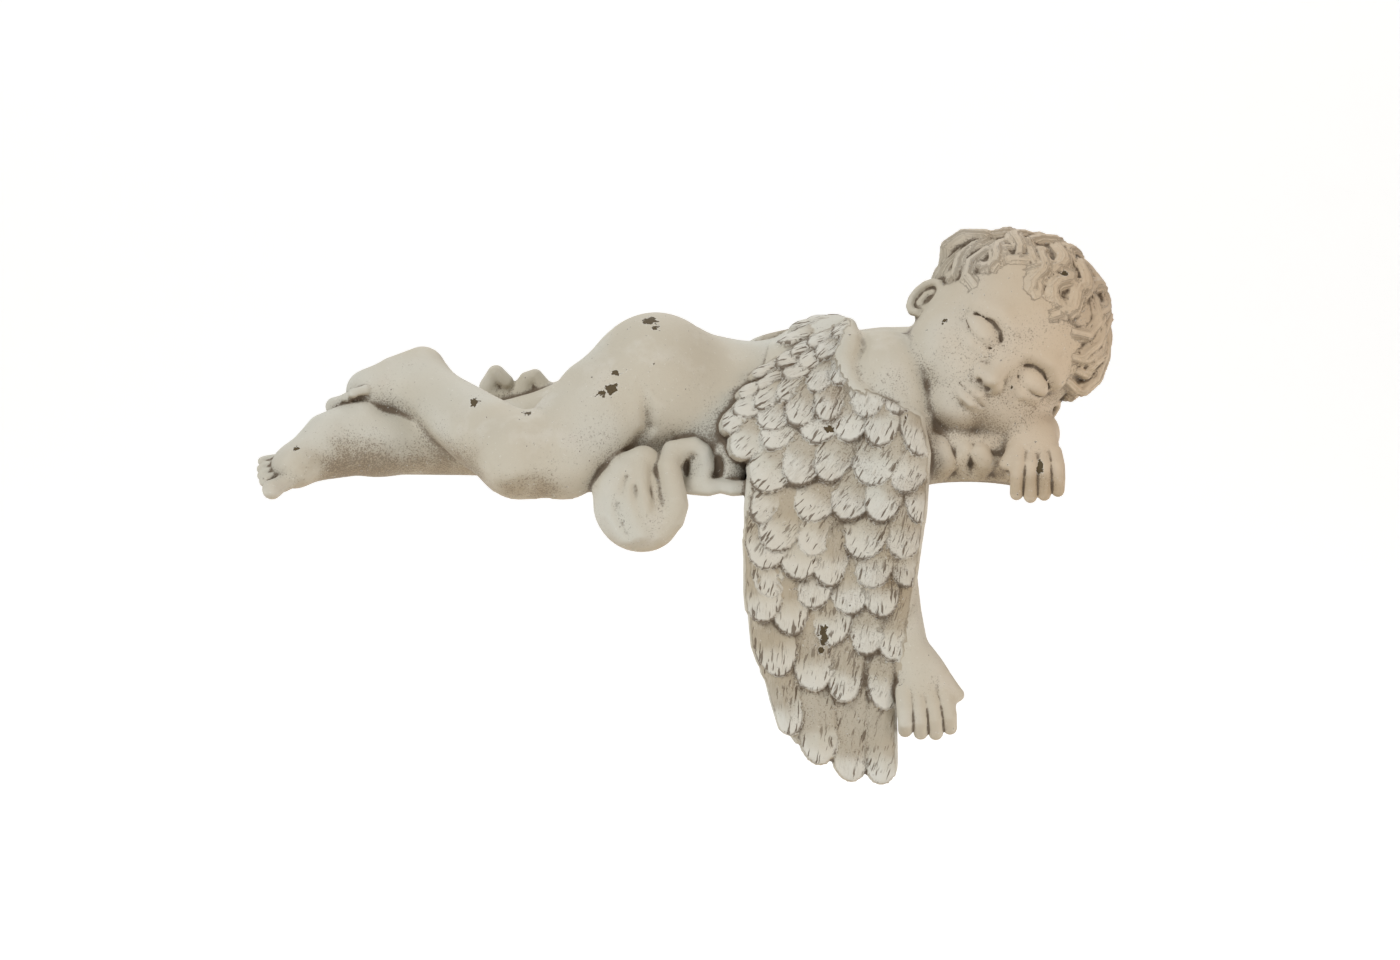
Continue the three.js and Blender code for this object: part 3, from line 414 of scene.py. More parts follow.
def layLock(lock):  # it lies on the front of the cap, and rises a little along its middle
    centre, radii = head["capCentre"], head["capRadii"]
    points = []
    for across, up, radius in lock:
        flat = np.array((across, up - centre[1], 0)) / radii
        size = min(np.linalg.norm(flat), 0.95)
        way = flat * (size / np.linalg.norm(flat)) + (0, 0, math.sqrt(1 - size * size))
        points.append((*onHead(centre + way * (radii - 0.35 * radius)), radius))
    return Lock(points)


def hairCap(here):  # the cap ends at the hairline
    low, high, whole = egg(head["capCentre"], head["capRadii"], here)
    line = hair["hairline"]
    way = line["up"] * here.axes[1] + line["ahead"] * here.axes[2]

    def distance(x, y, z):
        above = (x - here.origin[0]) * way[0] + (y - here.origin[1]) * way[1] + (z - here.origin[2]) * way[2]
        return -smoothMin(-whole(x, y, z), above - line["least"], 4)

    return low, high, distance


def makeLock(turn, seed, start, sweep, middleRadius, hook):
    steps = 10
    crown, toFace = np.array(hair["crown"]), np.array(hair["toFace"])
    toSide = np.array((1.0, 0, 0))
    fall = math.radians(start)
    way = crown * math.cos(fall) + (toFace * math.cos(turn) + toSide * math.sin(turn)) * math.sin(fall)
    stride = math.radians(sweep) / steps * 1.2
    points = []
    for step in range(steps + 1):
        t = step / steps
        radius = middleRadius * (0.75 + 0.25 * math.sin(math.pi * t) - 0.45 * t ** 3)
        lift = 1 + (1.5 * math.sin(math.pi * t) - hair["sunk"] * radius / middleRadius) / 44
        points.append((*onHead(head["capCentre"] + head["capRadii"] * way * lift), radius))
        down = -(crown - way * (crown @ way))
        down = down / max(np.linalg.norm(down), 1e-6)
        sideways = np.cross(way, down)
        bend = math.radians(hair["wave"]) * math.cos(2.4 * math.pi * t + 1.7 * seed)
        bend += math.radians(hook) * t ** 3 * (1 if math.sin(1.3 * seed) > 0 else -1)
        way = way + stride * (down * math.cos(bend) + sideways * math.sin(bend))
        way = way / np.linalg.norm(way)
    return Lock(points)


def onHead(p):
    return head["place"].point(p)


# Wings: thick sheets over a profile from the spine outward, with feathers laid on in rows

class FlatMap:  # values over a flat area, read between its grid points
    def __init__(self, low, high, step, values):
        self.low, self.step = low, step
        counts = [int(math.ceil((high[a] - low[a]) / step)) + 2 for a in range(2)]
        a = low[0] + step * np.arange(counts[0])
        b = low[1] + step * np.arange(counts[1])
        self.layers = [layer.astype(np.float32) for layer in values(*np.meshgrid(a, b, indexing="ij"))]
        self.counts = counts

    def read(self, a, b, which, nearest=False):
        ca = np.clip((a - self.low[0]) / self.step, 0, self.counts[0] - 1.001)
        cb = np.clip((b - self.low[1]) / self.step, 0, self.counts[1] - 1.001)
        ca, cb = np.broadcast_arrays(ca, cb)
        if nearest:
            ia, ib = np.round(ca).astype(np.int32), np.round(cb).astype(np.int32)
            return [self.layers[i][ia, ib] for i in which]
        ia, ib = ca.astype(np.int32), cb.astype(np.int32)
        ta, tb = (ca - ia).astype(np.float32), (cb - ib).astype(np.float32)

        def between(layer, row):
            return layer[ia, row] * (1 - ta) + layer[ia + 1, row] * ta

        layers = [self.layers[i] for i in which]
        return [between(layer, ib) * (1 - tb) + between(layer, ib + 1) * tb for layer in layers]


class Profile:  # a wing's profile through (y, z) points
    parts = 90

    def __init__(self, points):
        points = np.array(points, float)
        ends = np.vstack([2 * points[0] - points[1], points, 2 * points[-1] - points[-2]])
        dense = []
        for i in range(1, len(ends) - 2):
            p0, p1, p2, p3 = ends[i - 1:i + 3]
            d0, d1, d2 = [np.linalg.norm(b - a) ** 0.5 for a, b in ((p0, p1), (p1, p2), (p2, p3))]
            m1 = ((p1 - p0) / d0 - (p2 - p0) / (d0 + d1) + (p2 - p1) / d1) * d1
            m2 = ((p2 - p1) / d1 - (p3 - p1) / (d1 + d2) + (p3 - p2) / d2) * d1
            t = np.linspace(0, 1, 24, endpoint=False)[:, None]
            square, cube = 3 * (p2 - p1) - 2 * m1 - m2, 2 * (p1 - p2) + m1 + m2
            dense.append(p1 + m1 * t + square * t ** 2 + cube * t ** 3)
        dense = np.vstack(dense + [points[-1:]])
        run = np.concatenate([[0], np.cumsum(np.linalg.norm(np.diff(dense, axis=0), axis=1))])
        self.length = run[-1]
        self.pitch = self.length / self.parts
        at = np.linspace(0, self.length, self.parts + 1)
        self.samples = np.stack([np.interp(at, run, dense[:, 0]), np.interp(at, run, dense[:, 1])], axis=1)
        self.low = self.samples.min(axis=0) - 35
        self.high = self.samples.max(axis=0) + 35
        self.map = FlatMap(self.low, self.high, 1.0, self.nearest)

    def nearest(self, y, z):  # along, distance out from the sheet, distance past its ends
        least = np.full(y.shape, np.inf)
        along, out, past = np.zeros(y.shape), np.zeros(y.shape), np.zeros(y.shape)
        for i in range(self.parts):
            (ay, az), (by, bz) = self.samples[i], self.samples[i + 1]
            dy, dz = by - ay, bz - az
            free = ((y - ay) * dy + (z - az) * dz) / (dy * dy + dz * dz)
            t = np.clip(free, 0, 1)
            gap = np.hypot(y - ay - t * dy, z - az - t * dz)
            closer = gap < least
            least = np.where(closer, gap, least)
            along = np.where(closer, (i + t) * self.pitch, along)
            out = np.where(closer, (dz * (y - ay) - dy * (z - az)) / math.hypot(dy, dz), out)
            atEnd = ((i == 0) & (free < 0)) | ((i == self.parts - 1) & (free > 1))
            past = np.where(closer, np.where(atEnd, np.abs(free - t) * self.pitch, -self.pitch), past)
        return along, out, past

    def alongAt(self, z):
        below = np.nonzero(self.samples[:, 1] < z)[0]
        return (below[0] if len(below) else self.parts) * self.pitch


feather = {
    "relief": 4.0,
    "rootShare": 0.05,  # a feather's height at its root, of its height at the tip
    "camber": 0.45,
    "tilt": 0.1,
    "lip": 1.3,
    "barbPitch": 2.4,
    "barbDepth": 0.5,
    "raggedness": 0.35,
    "loose": 2.4,  # how far the feathers stray from their row
    "shaftWidth": 1.3,
}


def layRow(row, index):  # feathers between a row's two end tips
    found = []
    (x0, v0), (x1, v1) = row["from"], row["to"]
    for i in range(row["count"]):
        t = i / (row["count"] - 1)
        stray = row.get("stray", feather["loose"])
        wobble, sway = stray * math.sin(12.9 * i + 7.3 * index), stray * math.cos(8.3 * i + 4.1 * index)
        lean = math.radians(row["lean"][0] + (row["lean"][1] - row["lean"][0]) * t + 5 * wobble)
        found.append({
            "x": x0 + (x1 - x0) * t + 0.8 * sway,
            "along": v0 + (v1 - v0) * t + row["sag"] * math.sin(math.pi * t) + 1.7 * wobble,
            "way": (-math.sin(lean), math.cos(lean)),
            "width": row["width"] * (1 + 0.05 * sway),
            "length": row["length"],
            "height": feather["relief"] * (row["width"] / 22) * (1 + 0.2 * math.cos(5.1 * i + 2.3 * index)),
            "tilt": feather["tilt"] * (1 if sway > 0 else -1),
        })
    return found


def mapFeathers(feathers):  # height, distance past, then side, back, number and rim of the top one
    reach = max(math.hypot(f["length"], f["width"]) for f in feathers)
    low = [min(f[k] for f in feathers) - reach for k in ("x", "along")]
    high = [max(f[k] for f in feathers) + reach for k in ("x", "along")]

    def values(x, along):
        past = np.full(x.shape, reach)
        layers = [np.full(x.shape, value) for value in (0.0, 0.0, -20.0, 0.0, 20.0)]
        for number, f in enumerate(feathers):
            dx, dv = x - f["x"], along - f["along"]
            back = dx * f["way"][0] + dv * f["way"][1]  # 0 at the tip, negative towards the root
            side = dx * f["way"][1] - dv * f["way"][0]
            half = f["width"] / 2
            nose = min(f["length"] * 0.6, half * 1.6)
            barb = np.abs(side) - 0.45 * back  # constant along a barb
            ragged = feather["raggedness"] * np.sin(barb * (2 * math.pi / feather["barbPitch"]) + number)
            ragged += 0.5 * feather["raggedness"] * np.sin(barb * 1.31 + 2.1 * number)
            towardsRoot = np.maximum(0, -(back + nose) / f["length"])
            spread = half * np.maximum(0.1, 1 - 0.25 * towardsRoot - 0.4 * towardsRoot ** 2)
            edge = np.hypot(side / spread, np.maximum(0, back + nose) / nose) - 1
            edge = edge * np.minimum(spread, nose)
            edge = edge + np.where(edge > -3, ragged * 0.5, 0)
            near = (back > -f["length"]) & (np.abs(side) < reach / 2)
            past = np.where(near, np.minimum(past, edge), past)
            ramp = feather["rootShare"] + (1 - feather["rootShare"]) * (1 + back / f["length"])
            camber = 1 - feather["camber"] * (side / half) ** 2 + f["tilt"] * side / f["height"]
            lip = np.sqrt(np.clip(-edge / feather["lip"], 0, 1))
            groove = 0.5 - 0.5 * np.cos(barb * (2 * math.pi / feather["barbPitch"]) + number)
            shaft = np.exp(-(side / feather["shaftWidth"]) ** 2)
            here = f["height"] * ramp * camber * lip
            inner = np.clip(-(back + 5) / 9, 0, 1)  # barbs show towards the root, and the tip is plain
            rise = np.clip(ramp * 1.6, 0, 1)
            here = here - feather["barbDepth"] * groove * inner * rise * (1 - shaft) * lip
            here = here + 0.35 * shaft * lip * ramp
            over = near & (edge < 0) & (here > layers[0])
            for layer, new in zip(layers, (here, side, back, number + 1, -edge)):
                np.copyto(layer, new, where=over)
        return layers[0], past, *layers[1:]

    return FlatMap(low, high, 0.5, values)


def stepInside(x, z, points):  # distance in x past an edge given as (x, z) points from the top down
    xs, zs = np.array(points[::-1], float).T
    return x - np.interp(z, zs, xs).astype(np.float32)


shoulderEdge = [
    (74, 96), (77, 80), (78, 72), (74, 63), (78, 53), (94, 47), (110, 38), (113.5, 20), (111.5, -8),
]

# The lean in degrees is at the row's two ends
rowParts = ("from", "to", "sag", "count", "width", "length", "lean", "stray")

nearWing = {
    "drop": 146,
    "thickness": 12,
    "rows": [  # as in rowParts, with the end tips as (x, z)
        ((36, 79), (62, 84), 0, 4, 13, 20, (66, 45)),
        ((25, 70), (64, 77), 0, 5, 13, 20, (64, 38)),
        ((18, 58), (70, 66), 0, 6, 14, 22, (60, 30)),
        ((14, 45), (80, 52), 1, 6, 16, 24, (56, 18)),
        ((13, 31), (96, 38), 2, 6, 20, 28, (50, 6)),
        ((17, 16), (106, 20), -7, 6, 22, 30, (44, 0)),
        ((26, 4), (98, 6), -5, 5, 24, 32, (34, 0)),
        ((29, -11), (107, -10), -3, 5, 24, 34, (26, 0)),
        ((33, -23), (98, -28), 2, 4, 25, 36, (14, 0)),
        ((29, -36), (102, -46), 5, 5, 24, 38, (9, 2)),
        ((37, -52), (92, -62), 3, 4, 24, 40, (5, 3)),
        ((32, -66), (97, -82), 3, 5, 23, 42, (0, 3)),
        ((39, -92), (90, -104), 2, 4, 22, 46, (-6, 2)),
        ((45, -119.5), (90, -143.5), 8, 4, 20.5, 60, (-12, 0), 0.5),
    ],
    "filledTo": -125,  # above this no gaps are left between the feathers
    "trimmedFrom": 10,  # below this no feather goes far past the foot edge
    "edgeGive": 0.6,
    "rounding": 7,
    "footEdge": [
        (70, 90), (34, 78), (30, 66), (26, 52), (23, 40), (24, 30), (25, 14), (22, 6), (21, -8),
        (21.2, -20), (22, -33), (22, -50), (24.4, -76), (27.2, -84), (32.6, -93), (35, -103),
        (39.3, -117), (44, -121), (50, -130), (53, -136), (53, -160),
    ],
    "rim": [
        (74, -14, 80, 3.4), (75, -32, 73.5, 4.2), (71.5, -39.5, 65, 4.6), (73, -43.5, 56, 4.6),
        (82, -47.5, 48.5, 4.4), (94, -50, 43.5, 4), (104, -50, 38, 3),
    ],
    "besideRim": [
        (81, -26, 81, 1.2), (81, -38.5, 73, 2), (77.5, -46, 65, 2.2), (79, -49.5, 57, 2.2),
        (87, -53, 51, 2), (97, -54.5, 46, 1.5),
    ],
    "armEdge": [(107, -39), (101.5, -73), (97.5, -99), (99, -160)],
}


def sinkToWaist(x, z):
    return 11 * (1 - smoothStep(x, 8, 72)) * smoothStep(z, 10, 70)


class Wing:
    def __init__(self, profile, feathers, edge, swell, outward, footEdge=None):
        self.profile, self.edge, self.footEdge = profile, edge, footEdge
        self.swell, self.outward = swell, outward
        self.cover = mapFeathers(feathers)
        self.back = nearWing["thickness"] + 3
        xs = [f["x"] + s * (f["width"] + f["length"]) for f in feathers for s in (-1, 1)]
        self.low = (min(xs), profile.low[0], profile.low[1] - 15)
        self.high = (max(xs), profile.high[0], profile.high[1] + 15)

    def distance(self, x, y, z):
        z = z + sinkToWaist(x, z)
        along, out, ends = self.profile.map.read(np.broadcast_to(y, np.broadcast(y, z).shape), z, (0, 1, 2))
        out = out * self.outward
        height, beyond = self.cover.read(x, along, (0, 1))
        if self.footEdge:
            outside, give = -stepInside(x, z, self.footEdge), nearWing["edgeGive"]
            beyond = np.minimum(beyond, np.maximum(outside + give, nearWing["filledTo"] - z))
            trimmed = np.maximum(beyond, outside - give)
            beyond = np.where(z < nearWing["trimmedFrom"], trimmed, beyond).astype(np.float32)
        beyond = -smoothMin(-beyond, -stepInside(x, z, self.edge), 2)
        front = out - height - self.swell(x, z)
        rounded = -smoothMin(-front, -beyond, nearWing["rounding"])
        return np.maximum(np.maximum(rounded, -out - self.back), ends)

    def shape(self):
        return self.low, self.high, self.distance


def swellOverArm(x, z):
    across = (x - 97) / 18
    fade = smoothStep(z, -100, -45) * (1 - smoothStep(z, 25, 55))
    return 9 * fade * np.exp(-across * across)


def makeNearWing():
    hang = sculpting["frontPlane"] - nearWing["thickness"]
    profile = Profile([(22, 82.5), (2, 85), (-16, 81.5), (-34, 69), (-47, 50), (-54, 28), (hang + 1, 4),
                       (hang, -36.5), (hang, -87.6), (hang + 2, -145)])
    feathers = []
    for index, values in enumerate(nearWing["rows"]):
        row = dict(zip(rowParts, values))
        for end in ("from", "to"):
            row[end] = (row[end][0], profile.alongAt(row[end][1]))
        feathers += layRow(row, index)
    return Wing(profile, feathers, shoulderEdge + nearWing["armEdge"], swellOverArm, 1, nearWing["footEdge"])


def makeFarWing():
    profile = Profile([(-4, 82), (14, 81), (32, 74), (48, 57), (58, 34), (68, 17), (90, 9), (112, 8)])
    feathers = []
    rows = 7
    for index in range(rows):
        t = index / (rows - 1)
        start = (22 - 14 * t, profile.length * (0.24 + 0.62 * t))
        end = (74 + 20 * t * (1.4 - t), profile.length * (0.24 + 0.74 * t))
        row = (start, end, 4, 5, 18 + 4 * t, 28 + 22 * t, (45 - 20 * t, 10))
        feathers += layRow(dict(zip(rowParts, row)), index)
    return Wing(profile, feathers, shoulderEdge[:7] + [(110, 0)], lambda x, z: 0, -1)


# Cloth: a sheet below the child, ruffles, a bunch behind the legs and an end that hangs before the shelf

cloth = {
    "beds": [
        ((-64, 14, 0), (42, 34, 14), 6), ((30, -8, 0), (62, 32, 12), 4), ((132, 3, 10), (46, 42, 24), 6),
        ((-2, -33, 14), (17, 10, 16), 5),
    ],
    "bank": [(112, -32, 19, 10), (126, -32, 23, 9.5), (150, -30, 20, 9.5)],  # behind the ruffles
    "ruffles": [  # x, top, half the width
        (119, 27.5, 6.6), (130, 25.5, 4.8), (139.5, 24, 5.4), (148.5, 17.5, 4.6), (155, 13, 3.6),
    ],
    "swing": 1.9,  # neighbouring ruffles swing against each other, so the folds open and close
    "bunches": [
        ([(-107, 38, 8, 9), (-108, 37, 30, 7.5), (-108.5, 34, 46, 5.5), (-105, 31, 53, 4.6),
          (-99.5, 30, 49, 3.6)], 2),
        ([(-98, 34, 30, 8), (-93, 33, 41, 6), (-89, 32, 49.5, 4.6), (-85, 32, 51.5, 4),
          (-80, 32, 45, 4.4)], 2),
        ([(-88, 40, 6, 12), (-82, 36, 28, 10.5), (-74, 33, 40.5, 5)], 4),
        ([(-66, 42, 8, 16), (-63, 38, 38.5, 14), (-48, 36, 45, 12)], 6),
        ([(-108, 37, 30, 7), (-102, 36, 41, 7.5), (-90, 35, 42, 6.5), (-76, 34, 41, 6)], 3),
    ],
    "hanging": [((-34, -54, -5), (18.5, 12, 20.5), 4), ((-28, -56, -14), (17, 11, 14.4), 5)],
    "hangingRoot": [(-46, -49, 2, 7), (-37, -49, 10, 9), (-28, -49, 15, 8.5)],
    "fold": [(-14, -47, 21, 4.6), (-15.5, -53.5, 13, 5.8), (-13.6, -57, 2, 6.6), (-12.4, -58.5, -5, 6.8),
             (-14.5, -58.5, -11.5, 7), (-20, -58, -17, 7)],
    "ridges": [
        [(-44, -56, 6, 4.5), (-43.5, -61, -8, 5), (-36, -61, -20, 4.5)],
        [(-33, -56, 10, 4), (-33.5, -63, -3, 4.4), (-29, -63.5, -18, 4)],
        [(-28.5, -57, 14, 2.4), (-28, -64, 4, 2.6), (-26, -66, -6, 2)],
    ],
    "groove": [(-24, -60, 12, 1.2), (-23.5, -65.5, 2, 2.4), (-19.5, -68.5, -7, 1.8), (-12, -68, -14, 1)],
    "dents": [
        [(-41, -66, -3, 1), (-40, -67.5, -10, 1.5), (-35, -68, -20, 1.5)],
        [(-32, -65, 5, 1), (-31, -69.5, -4, 1.6), (-27, -70, -13, 1.4)],
        [(-16, -66, -14, 1.2), (-22, -68, -20, 1.4)],
        [(-36, -62, 10, 1), (-38, -66, 2, 1.2)],
    ],
    "arch": [(-12, -46, 18, 5), (-8, -45.5, 22, 4.6), (-3, -45, 22.8, 4.2), (1.5, -45, 20, 4),
             (2.8, -45, 13, 3.8), (1, -45.5, 6, 3.6)],
    "panels": [((-4, -38.5, 12), (11, 8.2, 12), 2), ((13, -38, 12), (10, 7.5, 13), 2)],  # inside the arch
    "hem": [(-6, -46, 2.4, 3.6), (4, -47.5, 2, 3.8), (10, -46.5, 3, 3.4), (16, -47.5, 2, 3.8),
            (25, -45, 2.2, 3.6)],
    "undercut": ((135, -40, 0), (26, 42, 4.8)),  # the cloth below the ruffles keeps off the shelf
    "hollows": [((-7, -48, 13), (2.4, 5, 7)), ((9, -46, 13), (3.6, 5, 7))],
}


def makeCloth(clay):
    addEggs(clay, cloth["beds"])
    clay.add(limb(cloth["bank"]), 4)
    swing = cloth["swing"]
    for x, top, width in cloth["ruffles"]:
        swing = -swing
        clay.add(limb([
            (x + swing, -35, 9, width), (x - swing, -39.5 + 0.5 * swing, 14, width * 0.95),
            (x + 0.5 * swing, -39, top - width, width), (x, -30, top - width + 2, width * 0.9),
        ]), 0.9)
    for points, blend in cloth["bunches"]:
        clay.add(limb(points), blend)
    clay.add(limb(cloth["hangingRoot"]), 4)
    addEggs(clay, cloth["hanging"])
    clay.carve(limb(cloth["groove"]), 2)
    for ridge in cloth["ridges"]:
        clay.add(limb(ridge), 3)
    for dent in cloth["dents"]:
        clay.carve(limb(dent), 2.4)
    clay.add(limb(cloth["fold"]), 2.2)
    addEggs(clay, cloth["panels"])
    for centre, radii in cloth["hollows"]:
        clay.carve(egg(centre, radii), 2)
    clay.add(limb(cloth["arch"]), 4)
    clay.add(limb(cloth["hem"]), 4)
    clay.carve(egg(*cloth["undercut"]), 1)


def cutShelf(clay):  # the space of the shelf: all below the seat and behind the front plane
    y = (clay.low[1] + clay.step * np.arange(clay.count[1])).astype(np.float32)[None, :, None]
    z = (clay.low[2] + clay.step * np.arange(clay.count[2])).astype(np.float32)[None, None, :]
    shelf = np.maximum(z, sculpting["frontPlane"] - y)
    np.maximum(clay.field, -shelf, out=clay.field)


# From clay to mesh: one vertex for each cell that the surface crosses

def surfaceOf(clay):
    f = clay.field
    inside = f < 0
    nx, ny, nz = (int(n) for n in clay.count)
    jumps = np.array([ny * nz, nz, 1])
    corners = np.array([(n & 1, n >> 1 & 1, n >> 2 & 1) for n in range(8)])
    total = np.zeros((nx - 1, ny - 1, nz - 1), np.uint8)
    for i, j, k in corners:
        total += inside[i:nx - 1 + i, j:ny - 1 + j, k:nz - 1 + k]
    cells = np.argwhere((total > 0) & (total < 8))
    flat = cells @ jumps
    values = f.reshape(-1)
    sums = np.zeros((len(flat), 3), np.float32)
    crossings = np.zeros(len(flat), np.float32)
    for a in range(8):
        for b in range(a + 1, 8):
            if (a ^ b) not in (1, 2, 4):
                continue
            fa, fb = values[flat + corners[a] @ jumps], values[flat + corners[b] @ jumps]
            cross = (fa < 0) != (fb < 0)
            t = np.where(cross, fa / np.where(cross, fa - fb, 1), 0)
            sums += np.where(cross[:, None], corners[a] + t[:, None] * (corners[b] - corners[a]), 0)
            crossings += cross
    vertices = clay.low + clay.step * (cells + sums / crossings[:, None])
    faces = []
    for axis in range(3):
        u, v = (axis + 1) % 3, (axis + 2) % 3
        lower = [slice(1, n - 1) for n in inside.shape]
        upper = list(lower)
        lower[axis], upper[axis] = slice(0, -1), slice(1, None)
        here, there = inside[tuple(lower)], inside[tuple(upper)]
        spots = np.argwhere(here != there)
        fromInside = here[tuple(spots.T)]
        at = (spots + (np.arange(3) != axis)) @ jumps
        ring = np.stack([at, at - jumps[u], at - jumps[u] - jumps[v], at - jumps[v]], axis=1)
        ring = np.searchsorted(flat, ring)
        faces.append(np.where(fromInside[:, None], ring, ring[:, ::-1]))
    return vertices, np.vstack(faces)


def boxBlur(values, radius):
    size = 2 * radius + 1
    for axis in range(3):
        ends = [(radius + 1, radius) if a == axis else (0, 0) for a in range(3)]
        run = np.cumsum(np.pad(values, ends, mode="edge"), axis, dtype=np.float32)
        n = values.shape[axis]
        values = (np.take(run, np.arange(size, size + n), axis) - np.take(run, np.arange(0, n), axis)) / size
    return values


def sampleGrid(grid, low, step, points):
    at = np.clip((points - low) / step, 0, np.array(grid.shape) - 1.001)
    whole = at.astype(np.int32)
    t = (at - whole).astype(np.float32)
    total = np.zeros(len(points), np.float32)
    for i, j, k in np.ndindex(2, 2, 2):
        weight = np.prod([t[:, a] if far else 1 - t[:, a] for a, far in enumerate((i, j, k))], axis=0)
        total += weight * grid[whole[:, 0] + i, whole[:, 1] + j, whole[:, 2] + k]
    return total


def makeMesh(name, vertices, faces):
    mesh = bpy.data.meshes.new(name)
    mesh.vertices.add(len(vertices))
    mesh.vertices.foreach_set("co", (vertices * 0.001).astype(np.float32).ravel())
    mesh.loops.add(faces.size)
    mesh.loops.foreach_set("vertex_index", faces.astype(np.int32).ravel())
    mesh.polygons.add(len(faces))
    mesh.polygons.foreach_set("loop_start", np.arange(0, faces.size, 4, dtype=np.int32))
    mesh.polygons.foreach_set("loop_total", np.full(len(faces), 4, np.int32))
    mesh.update(calc_edges=True)
    mesh.validate()
    return mesh


def thinOut(obj, triangles):  # joins faces where the form is plain
    mesh = obj.data
    mesh.calc_loop_triangles()
    have = len(mesh.loop_triangles)
    if have > triangles:
        thin = obj.modifiers.new("thin", "DECIMATE")
        thin.ratio = triangles / have
        thin.use_collapse_triangulate = True
        done = bpy.data.meshes.new_from_object(obj.evaluated_get(bpy.context.evaluated_depsgraph_get()))
        obj.modifiers.clear()
        obj.data = done
        bpy.data.meshes.remove(mesh)
    note(f"{have} triangles thinned to {len(obj.data.polygons)}")


def addToScene(name, data):
    obj = bpy.data.objects.new(name, data)
    bpy.context.scene.collection.objects.link(obj)
    return obj


clay = Clay(sculpting["low"], sculpting["high"], sculpting["step"])
makeBody(clay)
makeCloth(clay)
makeArms(clay)
note("body, arms and cloth")
makeHead(clay)
locks = makeHair(clay)
note("head and hair")
wing = makeNearWing()
clay.add(wing.shape(), 1)
clay.add(limb(nearWing["rim"]), 7)
clay.carve(limb(nearWing["besideRim"]), 3)
farWing = makeFarWing()
clay.add(farWing.shape(), 1)
note("wings")
cutShelf(clay)
vertices, faces = surfaceOf(clay)
note(f"surface of {len(faces)} faces")

angel = addToScene("sleeping_angel_carving", makeMesh("sleeping_angel_carving", vertices, faces))
thinOut(angel, sculpting["triangles"])
angel.data.polygons.foreach_set("use_smooth", np.ones(len(angel.data.polygons), bool))


def readPoints(items, name):
    found = np.empty(len(items) * 3, np.float32)
    items.foreach_get(name, found)
    return found.reshape(-1, 3)


def addValues(name, values):
    attribute = angel.data.attributes.new(name, "FLOAT", "POINT")
    attribute.data.foreach_set("value", np.asarray(values, np.float32))


# How hollow the form is around each point: at a flat spot half of what surrounds it is solid
places = readPoints(angel.data.vertices, "co") * 1000
solid = (clay.field < 0).astype(np.float32)
# crease, edge and hollow later darken the colour as painted shade
fine = boxBlur(solid, max(1, round(2.2 / clay.step)))
addValues("crease", sampleGrid(fine, clay.low, clay.step, places))
addValues("edge", sampleGrid(boxBlur(solid, 1), clay.low, clay.step, places))
coarse = boxBlur(solid[::2, ::2, ::2], max(1, round(7 / (2 * clay.step))))
addValues("hollow", sampleGrid(coarse, clay.low, clay.step * 2, places))
note("hollows measured")

# On the wings, each point knows its place on its feather
offFeather = {"featherSide": 0.0, "featherBack": -20.0, "featherNumber": 0.0, "featherRim": 20.0}
closeToSheet = 2.5
onFeathers = {name: np.full(len(places), value) for name, value in offFeather.items()}
for order, one in enumerate((wing, farWing)):
    x, y, z = places.T
    z = z + sinkToWaist(x, z)
    along, out, past = one.profile.map.read(y, z, (0, 1, 2))
    height, beyond = one.cover.read(x, along, (0, 1))
    gap = np.abs(out * one.outward - height - one.swell(x, z))
    onSheet = (gap < closeToSheet) & (past < 0) & (beyond < 0)
    onSheet &= stepInside(x, z, one.edge) < -2
    found = one.cover.read(x, along, (2, 3, 4, 5), nearest=True)
    found[2] = found[2] + 100 * order
    for name, values in zip(onFeathers, found):
        onFeathers[name] = np.where(onSheet, values, onFeathers[name])
for name, values in onFeathers.items():
    addValues(name, values)

# On the hair, each point knows its place across its lock, from 100 up for points on a lock
across = np.zeros(len(places))
best = np.full(len(places), 0.9)
for lock in locks:
    around = np.nonzero(((places > lock.low - 1) & (places < lock.high + 1)).all(axis=1))[0]
    gap, side = lock.measure(*places[around].T)
    closer = np.abs(gap) < best[around]
    best[around[closer]] = np.abs(gap[closer])
    across[around[closer]] = 100 + side[closer]
addValues("strand", across)

# Chips in the finish, on what faces the front: x and height as seen, half width and half height
chips = [
    (-25, 85.5, 4, 1.8), (-22, 82, 1.8, 1), (-42, 59, 2.3, 1.3), (-43.5, 51, 3, 2.2),
    (-49, 48.5, 2, 1.4), (-51.5, 49.5, 1.5, 1), (-41, 54.5, 0.9, 0.9), (-112, 44.8, 2, 2.2),
    (-85, 39, 2.4, 1), (-200, 21.5, 1.8, 0.7), (63.5, 31, 2.3, 2), (61, -71.5, 2, 5.4),
    (59.5, -78, 1.5, 2), (180, 108.5, 1.8, 1.5), (167, 12.5, 1.5, 3.3), (169, 87.5, 0.9, 0.9),
    (120, 84.5, 0.95, 0.95), (154, 52, 0.85, 0.85), (100.5, 37, 1, 0.8), (71, -20, 0.8, 1.5),
]

# Brown patches of painted shade on the lower parts, placed in the same way
lowShadePatches = [
    (-166, 9, 56, 21), (-130, 12, 48, 19), (134, 8, 30, 14), (-85, 3, 28, 13), (150, 2, 60, 10),
    (96, -40, 14, 30),
]
lookDown = 0.105  # the photo looks down on the figure by 6 degrees
seen = places[:, 2] + lookDown * (places[:, 1] + 45)


def insideSpots(spots, top):  # top at the middle of a spot, top - 1 at its edge
    found = np.zeros(len(places))
    for x, height, halfWidth, halfHeight in spots:
        gap = np.hypot((places[:, 0] - x) / halfWidth, (seen - height) / halfHeight)
        found = np.maximum(found, top - gap)
    return found


